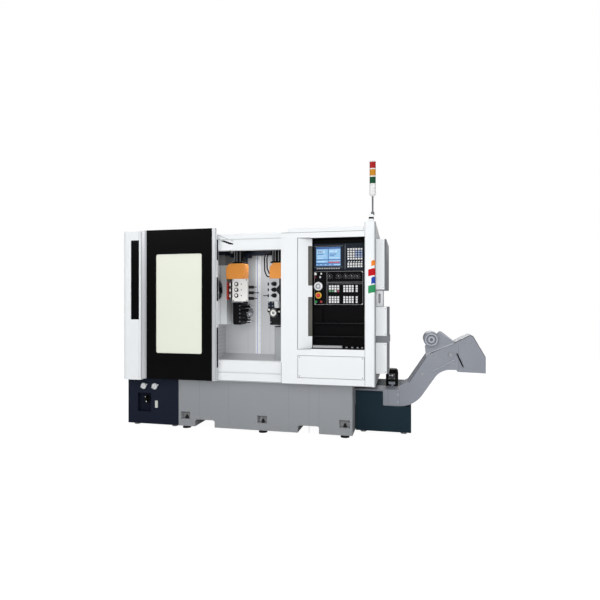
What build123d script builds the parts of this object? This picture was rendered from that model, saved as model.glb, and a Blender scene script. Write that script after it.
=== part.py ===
from build123d import *
import os
from math import cos, hypot, pi, radians, sin, tan

os.makedirs("parts", exist_ok=True)

# Twin-spindle turning lathe with gang tool posts and a hinged-belt chip conveyor.
# Millimetres. X runs along the spindles to the right, Y to the back, Z up.
# The origin is on the floor, under the middle of the machine.

# Machine ends and working heights
LEFT_END = -1506.0
FRONT = -780.0
FLOOR_GAP = 20.0
BASE_TOP = 428.0
ROOF_TOP = 1646.0
SHEET = 5.0
SEAT_GAP = 0.3

# Base casting and left cabinet
BASE_SETBACK = 90.0
CABINET_LENGTH = 482.0
BASE_LENGTH = 1502.0
BASE_DEPTH = 1310.0
CABINET_TOP = 416.0
FORK_WIDTH = 178.0
FORK_HEIGHT = 60.0
FORK_SPACING = 899.0
FORK_FIRST = 156.0
POCKET_WIDTH = 84.0
POCKET_HEIGHT = 62.0
POCKET_DEPTH = 70.0
FOOT_RADIUS = 36.0
STUD_RADIUS = 9.0
NUT_RADIUS = 15.0

# Front of the enclosure, from left to right
COVER_WIDTH = 178.0
COVER_CORNER = 45.0
COVER_TOP = 1690.0
DOOR_GAP = 4.0
TRIM_LEFT_WIDTH = 49.0
TRIM_RIGHT_WIDTH = 43.0
DOOR_LENGTH = 689.0
DOOR_THICKNESS = 35.0
DOOR_TOP = 1695.0
DOOR_BOTTOM = 429.0
WINDOW_WIDTH = 417.0
WINDOW_HEIGHT = 838.0
WINDOW_INSET = 90.0
WINDOW_BOTTOM = 650.0
WINDOW_STEP = 4.0
WINDOW_THICKNESS = 10.0
OPENING_WIDTH = 550.0
OPENING_BOTTOM = 600.0
OPENING_TOP = 1508.0
TRACK_GAP = 4.0
GROOVE_HEIGHT = 10.0
GROOVE_Z = 500.0
TOP_GROOVE_Z = 1600.0
SLIDER_CLEARANCE = 0.5

# Control frame on the right of the door
STILE_WIDTH = 139.0
SPLAY_WIDTH = 106.0
NICHE_WIDTH = 421.0
COLUMN_WIDTH = 81.0
FRAME_BOTTOM = 430.0
FRAME_TOP = 1637.0
NICHE_BOTTOM = 714.0
NICHE_TOP = 1590.0
NICHE_DEPTH = 85.0
SPLAY_DEPTH = 45.0
COLUMN_TOP = 1706.0
COLUMN_CORNER = 18.0
COLUMN_DEPTH = 60.0
HEADER_HEIGHT = 35.0
HEADER_OVERLAP = 52.0
COVER_PLATE_HEIGHT = 173.0
COVER_PLATE_BOTTOM = 485.0
REAR = 620.0

# Derived stations along X
CABINET_RIGHT = LEFT_END + CABINET_LENGTH
BASE_RIGHT = CABINET_RIGHT + BASE_LENGTH
COVER_RIGHT = LEFT_END + COVER_WIDTH
DOOR_LEFT = COVER_RIGHT + DOOR_GAP
DOOR_RIGHT = DOOR_LEFT + DOOR_LENGTH
FRAME_LEFT = DOOR_RIGHT + OPENING_WIDTH
SPLAY_LEFT = FRAME_LEFT + STILE_WIDTH
NICHE_LEFT = SPLAY_LEFT + SPLAY_WIDTH
NICHE_RIGHT = NICHE_LEFT + NICHE_WIDTH
FRAME_RIGHT = NICHE_RIGHT + COLUMN_WIDTH

# Derived stations along Y
BASE_FRONT = FRONT + BASE_SETBACK
BASE_REAR = BASE_FRONT + BASE_DEPTH
SKIN_FRONT = FRONT + DOOR_THICKNESS + TRACK_GAP
NICHE_BACK = FRONT + NICHE_DEPTH

# Spindle line, spindles and headstocks
SPINDLE_Y = -300.0
SPINDLE_Z = 1192.0
BAR_RADIUS = 21.0
SPINDLE_RADIUS = 55.0
SPINDLE_CLEARANCE = 0.05
CHUCK_RADIUS = 96.0
CHUCK_LENGTH = 80.0
CHUCK_FACE_X = -805.0
SPINDLE_TAIL = 95.0
HEAD_LENGTH = 452.0
HEAD_BOTTOM = 868.0
HEAD_TOP = 1430.0
HEAD_FRONT = -420.0
WALL_Y = 100.0
SUB_FACE_X = 60.0
SUB_HEAD_LENGTH = 300.0
SUB_HEAD_HEIGHT = 270.0
SUB_HEAD_DEPTH = 260.0
BAR_HOLE_RADIUS = 45.0

# Overhead bed and the gang posts that hang from it
BEAM_FRONT = -70.0
BEAM_BOTTOM = 1560.0
BEAM_TOP = 1632.0
RAIL_WIDTH = 24.0
RAIL_HEIGHT = 18.0
CARRIAGE_PLATE = 22.0
POST_WIDTH = 146.0
BLOCK_PLATE = 28.0
CORE_WIDTH = 88.0
BLOCK_FRONT = -360.0
BLOCK_BOTTOM = 1088.0
BLOCK_TOP = 1292.0
CASING_TOP = 1433.0
CASING_DEPTH = 115.0
MOTOR_TOP = 1572.0
MOTOR_SIDE = 106.0
TOOL_PITCH = 52.0
TOOL_ROWS = 3
TOOL_RADIUS = 14.0
LIVE_BOTTOM = 876.0
LIVE_TOP = 1070.0
LEFT_POST_X = -582.0
RIGHT_POST_X = -234.0
LEFT_COLUMN_X = -700.0
RIGHT_COLUMN_X = -262.0

# Coolant tank and chip conveyor
TANK_FRONT = -500.0
TANK_GAP = 5.0
TANK_LENGTH = 450.0
TANK_SCREEN_LENGTH = 224.0
TANK_LEFT = BASE_RIGHT + TANK_GAP
TANK_RIGHT = TANK_LEFT + TANK_LENGTH
TANK_DEPTH = 640.0
TANK_SCREEN_RIGHT = TANK_LEFT + TANK_SCREEN_LENGTH
TANK_TOP = 349.0
CONVEYOR_FRONT = -490.0
CONVEYOR_WIDTH = 190.0
CASING_SHEET = 4.0
TROUGH_BOTTOM = 231.0
TROUGH_HEIGHT = 131.0
TANK_LOW_TOP = TROUGH_BOTTOM
CONVEYOR_TAIL = -640.0
BELT_PITCH = 38.1
HEAD_SIDES = 8


def block(x0, x1, y0, y1, z0, z1, mode=Mode.ADD):
    """A block between two opposite corners."""
    with Locations(((x0 + x1) / 2, (y0 + y1) / 2, (z0 + z1) / 2)):
        Box(x1 - x0, y1 - y0, z1 - z0, mode=mode)


def rod(axis, at, start, end, radius, mode=Mode.ADD):
    """A cylinder along X, Y or Z, centred on the other two coordinates."""
    middle = (start + end) / 2
    places = {"X": (middle, at[0], at[1]), "Y": (at[0], middle, at[1]), "Z": (at[0], at[1], middle)}
    turns = {"X": (0, 90, 0), "Y": (90, 0, 0), "Z": (0, 0, 0)}
    with Locations(places[axis]):
        Cylinder(radius, end - start, rotation=turns[axis], mode=mode)


def plan(z0, z1, points, mode=Mode.ADD):
    """A flat outline seen from above, raised between two heights."""
    with BuildSketch(Plane.XY.offset(z0)) as outline:
        with BuildLine():
            Polyline(*points, close=True)
        make_face()
    extrude(outline.sketch, amount=z1 - z0, mode=mode)


def section(x0, x1, points, mode=Mode.ADD):
    """A Y-Z section drawn from the left end, run along X."""
    with BuildSketch(Plane.YZ.offset(x0)) as outline:
        with BuildLine():
            Polyline(*points, close=True)
        make_face()
    extrude(outline.sketch, amount=x1 - x0, mode=mode)


def side(y0, y1, points, mode=Mode.ADD):
    """An X-Z outline seen from the front, run from the front y0 to the back y1."""
    with BuildSketch(Plane.XZ.offset(-y1)) as outline:
        with BuildLine():
            Polyline(*points, close=True)
        make_face()
    extrude(outline.sketch, amount=y1 - y0, mode=mode)


# Base casting: foot pockets, fork tunnels and the chip channel under the work area
CHANNEL_FRONT = CONVEYOR_FRONT - 8.0
CHANNEL_REAR = CONVEYOR_FRONT + CONVEYOR_WIDTH + 8.0
CHANNEL_LEFT = CONVEYOR_TAIL - 14.0
FOOT_FIRST = CABINET_RIGHT + 66.0
FOOT_LAST = BASE_RIGHT - 64.0
FOOT_XS = [FOOT_FIRST, (FOOT_FIRST + FOOT_LAST) / 2, FOOT_LAST]
FOOT_YS = [BASE_FRONT + POCKET_DEPTH / 2, BASE_REAR - POCKET_DEPTH / 2]
FORK_XS = [CABINET_RIGHT + FORK_FIRST + index * FORK_SPACING for index in range(2)]
POCKET_SILL = 58.0

with BuildPart() as base_casting:
    block(CABINET_RIGHT, BASE_RIGHT, BASE_FRONT, BASE_REAR, FLOOR_GAP, BASE_TOP)
    fillet(base_casting.edges().filter_by(Axis.Z), 8)
    block(CHANNEL_LEFT, BASE_RIGHT, CHANNEL_FRONT, CHANNEL_REAR, TROUGH_BOTTOM, BASE_TOP, Mode.SUBTRACT)
    for fork_x in FORK_XS:
        side(BASE_FRONT, BASE_REAR, [
            (fork_x, FLOOR_GAP),
            (fork_x + FORK_WIDTH, FLOOR_GAP),
            (fork_x + FORK_WIDTH, FLOOR_GAP + FORK_HEIGHT - 12),
            (fork_x + FORK_WIDTH - 12, FLOOR_GAP + FORK_HEIGHT),
            (fork_x + 12, FLOOR_GAP + FORK_HEIGHT),
            (fork_x, FLOOR_GAP + FORK_HEIGHT - 12),
        ], Mode.SUBTRACT)
    for foot_x in FOOT_XS:
        for foot_y in FOOT_YS:
            block(foot_x - POCKET_WIDTH / 2, foot_x + POCKET_WIDTH / 2, foot_y - POCKET_DEPTH / 2,
                  foot_y + POCKET_DEPTH / 2, FLOOR_GAP + POCKET_SILL,
                  FLOOR_GAP + POCKET_SILL + POCKET_HEIGHT, Mode.SUBTRACT)
            rod("Z", (foot_x, foot_y), FLOOR_GAP, FLOOR_GAP + POCKET_SILL, STUD_RADIUS + SEAT_GAP,
                Mode.SUBTRACT)
base_casting.part.label = "base_casting"
export_step(base_casting.part, "parts/base_casting.step")

# Levelling feet: a round pad, a stud and its lock nut, all six alike
with BuildPart() as levelling_feet:
    with BuildSketch(Plane.XZ):
        with BuildLine():
            Polyline((0, 0), (FOOT_RADIUS, 0), (FOOT_RADIUS, 8), (FOOT_RADIUS - 8, 15),
                     (STUD_RADIUS + 7, FLOOR_GAP), (STUD_RADIUS, FLOOR_GAP),
                     (STUD_RADIUS, FLOOR_GAP + POCKET_SILL),
                     (NUT_RADIUS, FLOOR_GAP + POCKET_SILL), (NUT_RADIUS, FLOOR_GAP + POCKET_SILL + 14),
                     (STUD_RADIUS, FLOOR_GAP + POCKET_SILL + 14),
                     (STUD_RADIUS, FLOOR_GAP + POCKET_SILL + 30), (0, FLOOR_GAP + POCKET_SILL + 30),
                     close=True)
        make_face()
    revolve(axis=Axis.Z)
one_foot = levelling_feet.part
with BuildPart() as levelling_feet:
    with Locations(*[(foot_x, foot_y, 0) for foot_x in FOOT_XS for foot_y in FOOT_YS]):
        add(one_foot)
levelling_feet.part.label = "levelling_feet"
export_step(levelling_feet.part, "parts/levelling_feet.step")

# Left cabinet: hydraulic and lubrication unit with two gauges, a switch pocket and an oil level sight
POCKET_LEFT = LEFT_END + 98.0
POCKET_SIZE_X = 126.0
POCKET_LOW = 126.0
POCKET_SIZE_Z = 161.0
GAUGE_RADIUS = 27.0
GAUGE_XS = [LEFT_END + 159.0, LEFT_END + 264.0]
GAUGE_Z = CABINET_TOP - 66.0
CABINET_REAR = BASE_REAR - 180.0

with BuildPart() as left_cabinet:
    block(LEFT_END, CABINET_RIGHT, BASE_FRONT, CABINET_REAR, FLOOR_GAP, CABINET_TOP)
    fillet(left_cabinet.edges().filter_by(Axis.Z).sort_by(Axis.X)[:2], 10)
    block(POCKET_LEFT, POCKET_LEFT + POCKET_SIZE_X, BASE_FRONT, BASE_FRONT + 25, POCKET_LOW,
          POCKET_LOW + POCKET_SIZE_Z, Mode.SUBTRACT)
    for gauge_x in GAUGE_XS:
        rod("Y", (gauge_x, GAUGE_Z), BASE_FRONT - 14, BASE_FRONT, GAUGE_RADIUS)
        with BuildSketch(Plane.XZ.offset(-BASE_FRONT)):
            with Locations((gauge_x, GAUGE_Z)):
                SlotOverall(2 * GAUGE_RADIUS + 20, 16, rotation=22)
        extrude(amount=6)
    with BuildSketch(Plane.XZ.offset(-BASE_FRONT)):
        with Locations((LEFT_END + 279, 194)):
            RectangleRounded(24, 62, 5)
    extrude(amount=8)
    for leg_x in (LEFT_END + 60, CABINET_RIGHT - 60):
        for leg_y in (BASE_FRONT + 60, CABINET_REAR - 60):
            rod("Z", (leg_x, leg_y), 0, FLOOR_GAP, 24)
left_cabinet.part.label = "left_cabinet"
export_step(left_cabinet.part, "parts/left_cabinet.step")

# Left cover: hollow folded housing over the spindle's tail, with the bar feed hole in its end wall
with BuildPart() as left_cover:
    with BuildSketch(Plane.XY.offset(CABINET_TOP)) as cover_plan:
        with Locations(((LEFT_END + COVER_RIGHT) / 2, (FRONT + REAR) / 2)):
            Rectangle(COVER_WIDTH, REAR - FRONT)
        fillet(cover_plan.vertices().sort_by(Axis.X)[:2], COVER_CORNER)
    extrude(amount=COVER_TOP - CABINET_TOP)
    with BuildSketch(Plane.XY.offset(CABINET_TOP)) as cover_hollow:
        with Locations(((LEFT_END + COVER_RIGHT) / 2, (FRONT + REAR) / 2)):
            Rectangle(COVER_WIDTH - 2 * SHEET, REAR - FRONT - 2 * SHEET)
        fillet(cover_hollow.vertices().sort_by(Axis.X)[:2], COVER_CORNER - SHEET)
    extrude(amount=COVER_TOP - CABINET_TOP - SHEET, mode=Mode.SUBTRACT)
    rod("X", (SPINDLE_Y, SPINDLE_Z), LEFT_END - 1, COVER_RIGHT - SHEET - 1, BAR_HOLE_RADIUS, Mode.SUBTRACT)
    rod("X", (SPINDLE_Y, SPINDLE_Z), COVER_RIGHT - SHEET - 1, COVER_RIGHT + 1, SPINDLE_RADIUS + 12,
        Mode.SUBTRACT)
left_cover.part.label = "left_cover"
export_step(left_cover.part, "parts/left_cover.step")

# Roof with the header over the control frame and the fascia above the door opening
HEADER_LEFT = FRAME_LEFT + HEADER_OVERLAP
HEADER_RIGHT = NICHE_RIGHT - 9.0
with BuildPart() as roof_panel:
    section(COVER_RIGHT, FRAME_RIGHT - SHEET, [
        (SKIN_FRONT, OPENING_TOP), (SKIN_FRONT + 24, OPENING_TOP), (SKIN_FRONT + 24, ROOF_TOP - SHEET),
        (REAR - SHEET, ROOF_TOP - SHEET), (REAR - SHEET, ROOF_TOP), (SKIN_FRONT, ROOF_TOP),
    ])
    block(FRAME_LEFT, FRAME_RIGHT - SHEET, SKIN_FRONT, SKIN_FRONT + 24, OPENING_TOP, ROOF_TOP - SHEET,
          Mode.SUBTRACT)
    block(NICHE_RIGHT, FRAME_RIGHT - SHEET, SKIN_FRONT, FRONT + COLUMN_DEPTH, ROOF_TOP - SHEET, ROOF_TOP,
          Mode.SUBTRACT)
    block(HEADER_LEFT, HEADER_RIGHT, FRONT + 4, SKIN_FRONT + 400, FRAME_TOP, FRAME_TOP + HEADER_HEIGHT)
    block(COVER_RIGHT + 40, FRAME_LEFT + 60, SKIN_FRONT, SKIN_FRONT + 12, TOP_GROOVE_Z - GROOVE_HEIGHT / 2,
          TOP_GROOVE_Z + GROOVE_HEIGHT / 2, Mode.SUBTRACT)
roof_panel.part.label = "roof_panel"
export_step(roof_panel.part, "parts/roof_panel.step")

# Fixed front panel behind the open door
with BuildPart() as front_fixed_panel:
    with BuildSketch(Plane.XZ.offset(-(SKIN_FRONT + SHEET))):
        with Locations(((COVER_RIGHT + DOOR_RIGHT - 18) / 2, (OPENING_BOTTOM + OPENING_TOP) / 2)):
            Rectangle(DOOR_RIGHT - 18 - COVER_RIGHT, OPENING_TOP - OPENING_BOTTOM)
    extrude(amount=SHEET)
    block(DOOR_RIGHT - 18 - SHEET, DOOR_RIGHT - 18, SKIN_FRONT + SHEET, SKIN_FRONT + 45, OPENING_BOTTOM,
          OPENING_TOP)
front_fixed_panel.part.label = "front_fixed_panel"
export_step(front_fixed_panel.part, "parts/front_fixed_panel.step")

# Door sill: outer apron with the guide groove, then a chip slope that falls to the conveyor
with BuildPart() as door_sill:
    section(COVER_RIGHT, FRAME_LEFT, [
        (SKIN_FRONT, BASE_TOP), (SKIN_FRONT, OPENING_BOTTOM - 12), (SKIN_FRONT + 12, OPENING_BOTTOM),
        (SKIN_FRONT + 45, OPENING_BOTTOM), (CHANNEL_FRONT, BASE_TOP + SHEET), (CHANNEL_FRONT, BASE_TOP),
    ])
    block(COVER_RIGHT + 40, FRAME_LEFT, SKIN_FRONT, SKIN_FRONT + 12, GROOVE_Z - GROOVE_HEIGHT / 2,
          GROOVE_Z + GROOVE_HEIGHT / 2, Mode.SUBTRACT)
door_sill.part.label = "door_sill"
export_step(door_sill.part, "parts/door_sill.step")

# Rear panel and the right side panel, which is folded round into the white corner column
with BuildPart() as rear_panel:
    block(COVER_RIGHT, FRAME_RIGHT - SHEET, REAR - SHEET, REAR, BASE_TOP, ROOF_TOP - SHEET)
rear_panel.part.label = "rear_panel"
export_step(rear_panel.part, "parts/rear_panel.step")

BRACKET_Z = 1112.0
with BuildPart() as right_side_panel:
    section(FRAME_RIGHT - SHEET, FRAME_RIGHT, [
        (FRONT + COLUMN_DEPTH, FRAME_BOTTOM), (REAR, FRAME_BOTTOM), (REAR, ROOF_TOP),
        (FRONT + 720, ROOF_TOP + 8), (FRONT + COLUMN_DEPTH, COLUMN_TOP),
    ])
    with BuildSketch(Plane.XY.offset(FRAME_BOTTOM)) as column_plan:
        with Locations(((NICHE_RIGHT + FRAME_RIGHT) / 2, FRONT + COLUMN_DEPTH / 2)):
            Rectangle(COLUMN_WIDTH, COLUMN_DEPTH)
        fillet(column_plan.vertices().sort_by(Axis.Y)[:2].sort_by(Axis.X)[-1:], COLUMN_CORNER)
    extrude(amount=COLUMN_TOP - FRAME_BOTTOM)
    with BuildSketch(Plane.YZ.offset(FRAME_RIGHT)) as bracket_face:
        with Locations((FRONT + 180, BRACKET_Z)):
            Rectangle(120, 126)
    extrude(amount=8)
    with BuildSketch(Plane.XZ.offset(-(FRONT + 126))):
        with Locations((FRAME_RIGHT + 26, BRACKET_Z)):
            Rectangle(52, 126)
            SlotOverall(78, 18, rotation=90, mode=Mode.SUBTRACT)
    extrude(amount=6)
right_side_panel.part.label = "right_side_panel"
export_step(right_side_panel.part, "parts/right_side_panel.step")

# Covers on the right side, one above the other
UPPER_BOX = (1182.0, 1577.0, 66.0, 560.0)
MIDDLE_BOX = (820.0, 1046.0, 84.0, 240.0)
LOWER_BOX = (524.0, 766.0, 84.0, 240.0)
BOX_FRONT = FRONT + 80.0
with BuildPart() as side_boxes:
    for low, high, reach, depth in (UPPER_BOX, MIDDLE_BOX, LOWER_BOX):
        plan(low, high, [
            (FRAME_RIGHT, BOX_FRONT), (FRAME_RIGHT + reach, BOX_FRONT),
            (FRAME_RIGHT + reach + 14, BOX_FRONT + 22), (FRAME_RIGHT + reach + 14, BOX_FRONT + depth),
            (FRAME_RIGHT, BOX_FRONT + depth),
        ])
    block(FRAME_RIGHT, FRAME_RIGHT + 104, BOX_FRONT + 6, BOX_FRONT + 190, LOWER_BOX[1], MIDDLE_BOX[0])
side_boxes.part.label = "side_boxes"
export_step(side_boxes.part, "parts/side_boxes.step")

# Control frame: folded front sheet with the door jamb, the splayed grip panel and the niche cut-out
GRIP_HEIGHTS = ((811.0, 1124.0), (1215.0, 1531.0))
PLATE_LEFT = SPLAY_LEFT
PLATE_RIGHT = NICHE_RIGHT - 4.0
PLATE_TOP = COVER_PLATE_BOTTOM + COVER_PLATE_HEIGHT
with BuildPart() as control_frame:
    block(FRAME_LEFT, NICHE_RIGHT, FRONT, FRONT + SHEET, FRAME_BOTTOM, FRAME_TOP)
    block(SPLAY_LEFT, NICHE_RIGHT, FRONT, FRONT + SHEET, NICHE_BOTTOM, NICHE_TOP, Mode.SUBTRACT)
    plan(NICHE_BOTTOM, NICHE_TOP, [
        (SPLAY_LEFT, FRONT), (NICHE_LEFT, FRONT + SPLAY_DEPTH), (NICHE_LEFT, FRONT + SPLAY_DEPTH + 40),
        (NICHE_LEFT - SHEET, FRONT + SPLAY_DEPTH + 40), (NICHE_LEFT - SHEET, FRONT + SPLAY_DEPTH + SHEET),
        (SPLAY_LEFT, FRONT + SHEET),
    ])
    block(FRAME_LEFT, FRAME_LEFT + SHEET, FRONT + SHEET, -560, FRAME_BOTTOM, FRAME_TOP)
    block(FRAME_LEFT + SHEET, NICHE_RIGHT, FRONT + SHEET, BASE_FRONT - 1, FRAME_BOTTOM, FRAME_BOTTOM + SHEET)
    block(FRAME_LEFT + SHEET, NICHE_RIGHT, FRONT + SHEET, BASE_FRONT - 1, FRAME_TOP - SHEET, FRAME_TOP)
    for grip_low, grip_high in GRIP_HEIGHTS:
        plan(grip_low, grip_high, [
            (NICHE_LEFT - 30, FRONT + SPLAY_DEPTH - 34), (NICHE_LEFT + 1, FRONT + SPLAY_DEPTH - 22),
            (NICHE_LEFT + 1, FRONT + SPLAY_DEPTH + 30), (NICHE_LEFT - 30, FRONT + SPLAY_DEPTH + 30),
        ], Mode.SUBTRACT)
    block(PLATE_LEFT - 2, PLATE_RIGHT + 2, FRONT, FRONT + 2, COVER_PLATE_BOTTOM - 2, PLATE_TOP + 2,
          Mode.SUBTRACT)
control_frame.part.label = "control_frame"
export_step(control_frame.part, "parts/control_frame.step")

# Blank cover plate with its four corner screws
with BuildPart() as blank_cover:
    with BuildSketch(Plane.XZ.offset(-(FRONT + 2))) as cover_outline:
        with Locations(((PLATE_LEFT + PLATE_RIGHT) / 2, (COVER_PLATE_BOTTOM + PLATE_TOP) / 2)):
            RectangleRounded(PLATE_RIGHT - PLATE_LEFT, COVER_PLATE_HEIGHT, 6)
    extrude(amount=2)
    for screw_x in (PLATE_LEFT + 12, PLATE_RIGHT - 12):
        for screw_z in (COVER_PLATE_BOTTOM + 12, PLATE_TOP - 12):
            rod("Y", (screw_x, screw_z), FRONT, FRONT + 0.6, 5, Mode.SUBTRACT)
            rod("Y", (screw_x, screw_z), FRONT, FRONT + 1, 4)
blank_cover.part.label = "blank_cover"
export_step(blank_cover.part, "parts/blank_cover.step")

# Niche liner: folded black tray with two ledges under the keyboard
LEDGE_ZS = (801.0, 906.0)
LINER_LEFT = NICHE_LEFT + SEAT_GAP
with BuildPart() as niche_liner:
    block(LINER_LEFT, NICHE_RIGHT, NICHE_BACK, NICHE_BACK + SHEET, NICHE_BOTTOM, NICHE_TOP)
    for wall_x in (LINER_LEFT, NICHE_RIGHT - SHEET):
        block(wall_x, wall_x + SHEET, FRONT + SPLAY_DEPTH + 4, NICHE_BACK, NICHE_BOTTOM, NICHE_TOP)
    for wall_z in (NICHE_BOTTOM, NICHE_TOP - SHEET):
        block(LINER_LEFT, NICHE_RIGHT, FRONT + SHEET, NICHE_BACK, wall_z, wall_z + SHEET)
    for ledge_z in LEDGE_ZS:
        side(NICHE_BACK - 34, NICHE_BACK, [
            (LINER_LEFT, ledge_z), (NICHE_RIGHT - SHEET, ledge_z),
            (NICHE_RIGHT - SHEET, ledge_z + 18), (NICHE_RIGHT - 80, ledge_z + 18),
            (NICHE_RIGHT - 95, ledge_z + 10), (NICHE_LEFT + 190, ledge_z + 10),
            (NICHE_LEFT + 175, ledge_z + 18), (NICHE_LEFT + 110, ledge_z + 18),
            (NICHE_LEFT + 95, ledge_z + 10), (LINER_LEFT, ledge_z + 10),
        ])
    block(NICHE_LEFT + 8, NICHE_LEFT + 80, NICHE_BACK - 20, NICHE_BACK, 924, 1032)
niche_liner.part.label = "niche_liner"
export_step(niche_liner.part, "parts/niche_liner.step")

# Control unit: bezel with the screen recess, soft keys and the data keys
UNIT_LEFT = NICHE_LEFT + 8.0
UNIT_WIDTH = 400.0
UNIT_LOW = 1336.0
UNIT_HEIGHT = 214.0
UNIT_FRONT = NICHE_BACK - 24.0
SCREEN_LEFT = UNIT_LEFT + 21.0
SCREEN_WIDTH = 198.0
SCREEN_LOW = UNIT_LOW + 34.0
SCREEN_HEIGHT = 152.0
DATA_KEY = 14.0
DATA_PITCH = 20.5
with BuildPart() as cnc_unit:
    block(UNIT_LEFT, UNIT_LEFT + UNIT_WIDTH, UNIT_FRONT, NICHE_BACK, UNIT_LOW, UNIT_LOW + UNIT_HEIGHT)
    chamfer(cnc_unit.faces().sort_by(Axis.Y)[0].edges(), 3)
    block(SCREEN_LEFT, SCREEN_LEFT + SCREEN_WIDTH, UNIT_FRONT, UNIT_FRONT + 6, SCREEN_LOW,
          SCREEN_LOW + SCREEN_HEIGHT, Mode.SUBTRACT)
    with BuildSketch(Plane.XZ.offset(-UNIT_FRONT)):
        with Locations((SCREEN_LEFT + SCREEN_WIDTH / 2, UNIT_LOW + 15)):
            with GridLocations(19, 1, 10, 1):
                Rectangle(13, 8)
        with Locations((UNIT_LEFT + UNIT_WIDTH - 68, UNIT_LOW + 127)):
            with GridLocations(DATA_PITCH, 19, 6, 5):
                Rectangle(DATA_KEY, 13)
        with Locations((UNIT_LEFT + UNIT_WIDTH - 68, UNIT_LOW + 48)):
            with GridLocations(DATA_PITCH, 19, 6, 3):
                Rectangle(DATA_KEY, 13)
    extrude(amount=3)
cnc_unit.part.label = "cnc_unit"
export_step(cnc_unit.part, "parts/cnc_unit.step")

with BuildPart() as screen:
    block(SCREEN_LEFT + SEAT_GAP, SCREEN_LEFT + SCREEN_WIDTH - SEAT_GAP, UNIT_FRONT + 1, UNIT_FRONT + 6,
          SCREEN_LOW + SEAT_GAP, SCREEN_LOW + SCREEN_HEIGHT - SEAT_GAP)
screen.part.label = "screen"
export_step(screen.part, "parts/screen.step")

# Operator panel: engraved plate with two fixed pilot lamps, a guard ring and the machine keys
PANEL_LOW = 1058.0
PANEL_HIGH = UNIT_LOW - 2.0
PANEL_FRONT = NICHE_BACK - 14.0
PANEL_LEFT = UNIT_LEFT
PANEL_RIGHT = UNIT_LEFT + UNIT_WIDTH
DIVIDE_X = PANEL_LEFT + 108.0
KNOB_Z = 1283.0
KNOB_XS = [299.0, 371.0, 427.0, 475.0, 518.0]
KNOB_RADIUS = 15.0
SHAFT_RADIUS = 3.0
WHEEL_AT = (208.0, 1210.0)
WHEEL_RADIUS = 35.0
STOP_AT = (207.0, 1137.0)
STOP_RADIUS = 17.0
STOP_HEIGHT = 27.0
STOP_STEM_RADIUS = 9.0
RING_RADIUS = 25.0
RING_HEIGHT = 2.0
BUTTON_RADIUS = 10.0
BUTTON_TRAVEL = 4.0
BUTTONS = {"white_button": (183.0, 1309.0), "green_button": (187.0, 1086.0), "red_button": (229.0, 1086.0)}
KEY_SWITCH_AT = (222.0, 1284.0)
PILOT_LAMPS = ((229.0, 1310.0), (181.0, 1281.0))
MACHINE_KEY = 15.0
KEY_PITCH = 22.0
KEY_ROW_PITCH = 19.0
KEY_BLOCK_XS = (333.0, 448.0, 513.0)
KEY_COLUMNS = (4, 4, 1)
KEY_ROWS = (1190.0, 1103.0)
BORE_CLEARANCE = 0.3
with BuildPart() as operator_panel:
    block(PANEL_LEFT, PANEL_RIGHT, PANEL_FRONT, NICHE_BACK, PANEL_LOW, PANEL_HIGH)
    with BuildSketch(Plane.XZ.offset(-PANEL_FRONT)):
        for block_x, columns in zip(KEY_BLOCK_XS, KEY_COLUMNS):
            for row_z in KEY_ROWS:
                with Locations((block_x, row_z)):
                    with GridLocations(KEY_PITCH, KEY_ROW_PITCH, columns, 3):
                        Rectangle(MACHINE_KEY, MACHINE_KEY)
        for lamp in PILOT_LAMPS:
            with Locations(lamp):
                Circle(7)
    extrude(amount=3)
    with BuildSketch(Plane.XZ.offset(-PANEL_FRONT)):
        with Locations(STOP_AT):
            Circle(RING_RADIUS)
    extrude(amount=RING_HEIGHT)
    for knob_x in KNOB_XS:
        rod("Y", (knob_x, KNOB_Z), PANEL_FRONT, PANEL_FRONT + 10, SHAFT_RADIUS + BORE_CLEARANCE, Mode.SUBTRACT)
    for centre, radius in ((WHEEL_AT, 6), (STOP_AT, STOP_STEM_RADIUS), (KEY_SWITCH_AT, 6)):
        rod("Y", centre, PANEL_FRONT - 2, PANEL_FRONT + 12, radius + BORE_CLEARANCE, Mode.SUBTRACT)
    for centre in BUTTONS.values():
        rod("Y", centre, PANEL_FRONT, PANEL_FRONT + 12, BUTTON_RADIUS + BORE_CLEARANCE, Mode.SUBTRACT)
operator_panel.part.label = "operator_panel"
export_step(operator_panel.part, "parts/operator_panel.step")

# Five rotary selector knobs, each with a pointer rib
for number, knob_x in enumerate(KNOB_XS, start=1):
    with BuildPart() as rotary_knob:
        rod("Y", (knob_x, KNOB_Z), PANEL_FRONT - SEAT_GAP - 8, PANEL_FRONT - SEAT_GAP, KNOB_RADIUS)
        rod("Y", (knob_x, KNOB_Z), PANEL_FRONT - SEAT_GAP, PANEL_FRONT + 9, SHAFT_RADIUS)
        block(knob_x - 3.5, knob_x + 3.5, PANEL_FRONT - 20, PANEL_FRONT - SEAT_GAP - 7, KNOB_Z - 14, KNOB_Z + 14)
    rotary_knob.part.label = f"rotary_knob_{number}"
    export_step(rotary_knob.part, f"parts/rotary_knob_{number}.step")

# Pulse handwheel with its finger dimple, emergency stop, key switch and push buttons
with BuildPart() as handwheel:
    rod("Y", WHEEL_AT, PANEL_FRONT - 22, PANEL_FRONT - SEAT_GAP, WHEEL_RADIUS)
    chamfer(handwheel.edges().filter_by(GeomType.CIRCLE).sort_by(Axis.Y)[0], 4)
    rod("Y", WHEEL_AT, PANEL_FRONT - SEAT_GAP, PANEL_FRONT + 10, 6)
    rod("Y", (WHEEL_AT[0], WHEEL_AT[1] + 22), PANEL_FRONT - 23, PANEL_FRONT - 18, 7, Mode.SUBTRACT)
handwheel.part.label = "handwheel"
export_step(handwheel.part, "parts/handwheel.step")

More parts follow.
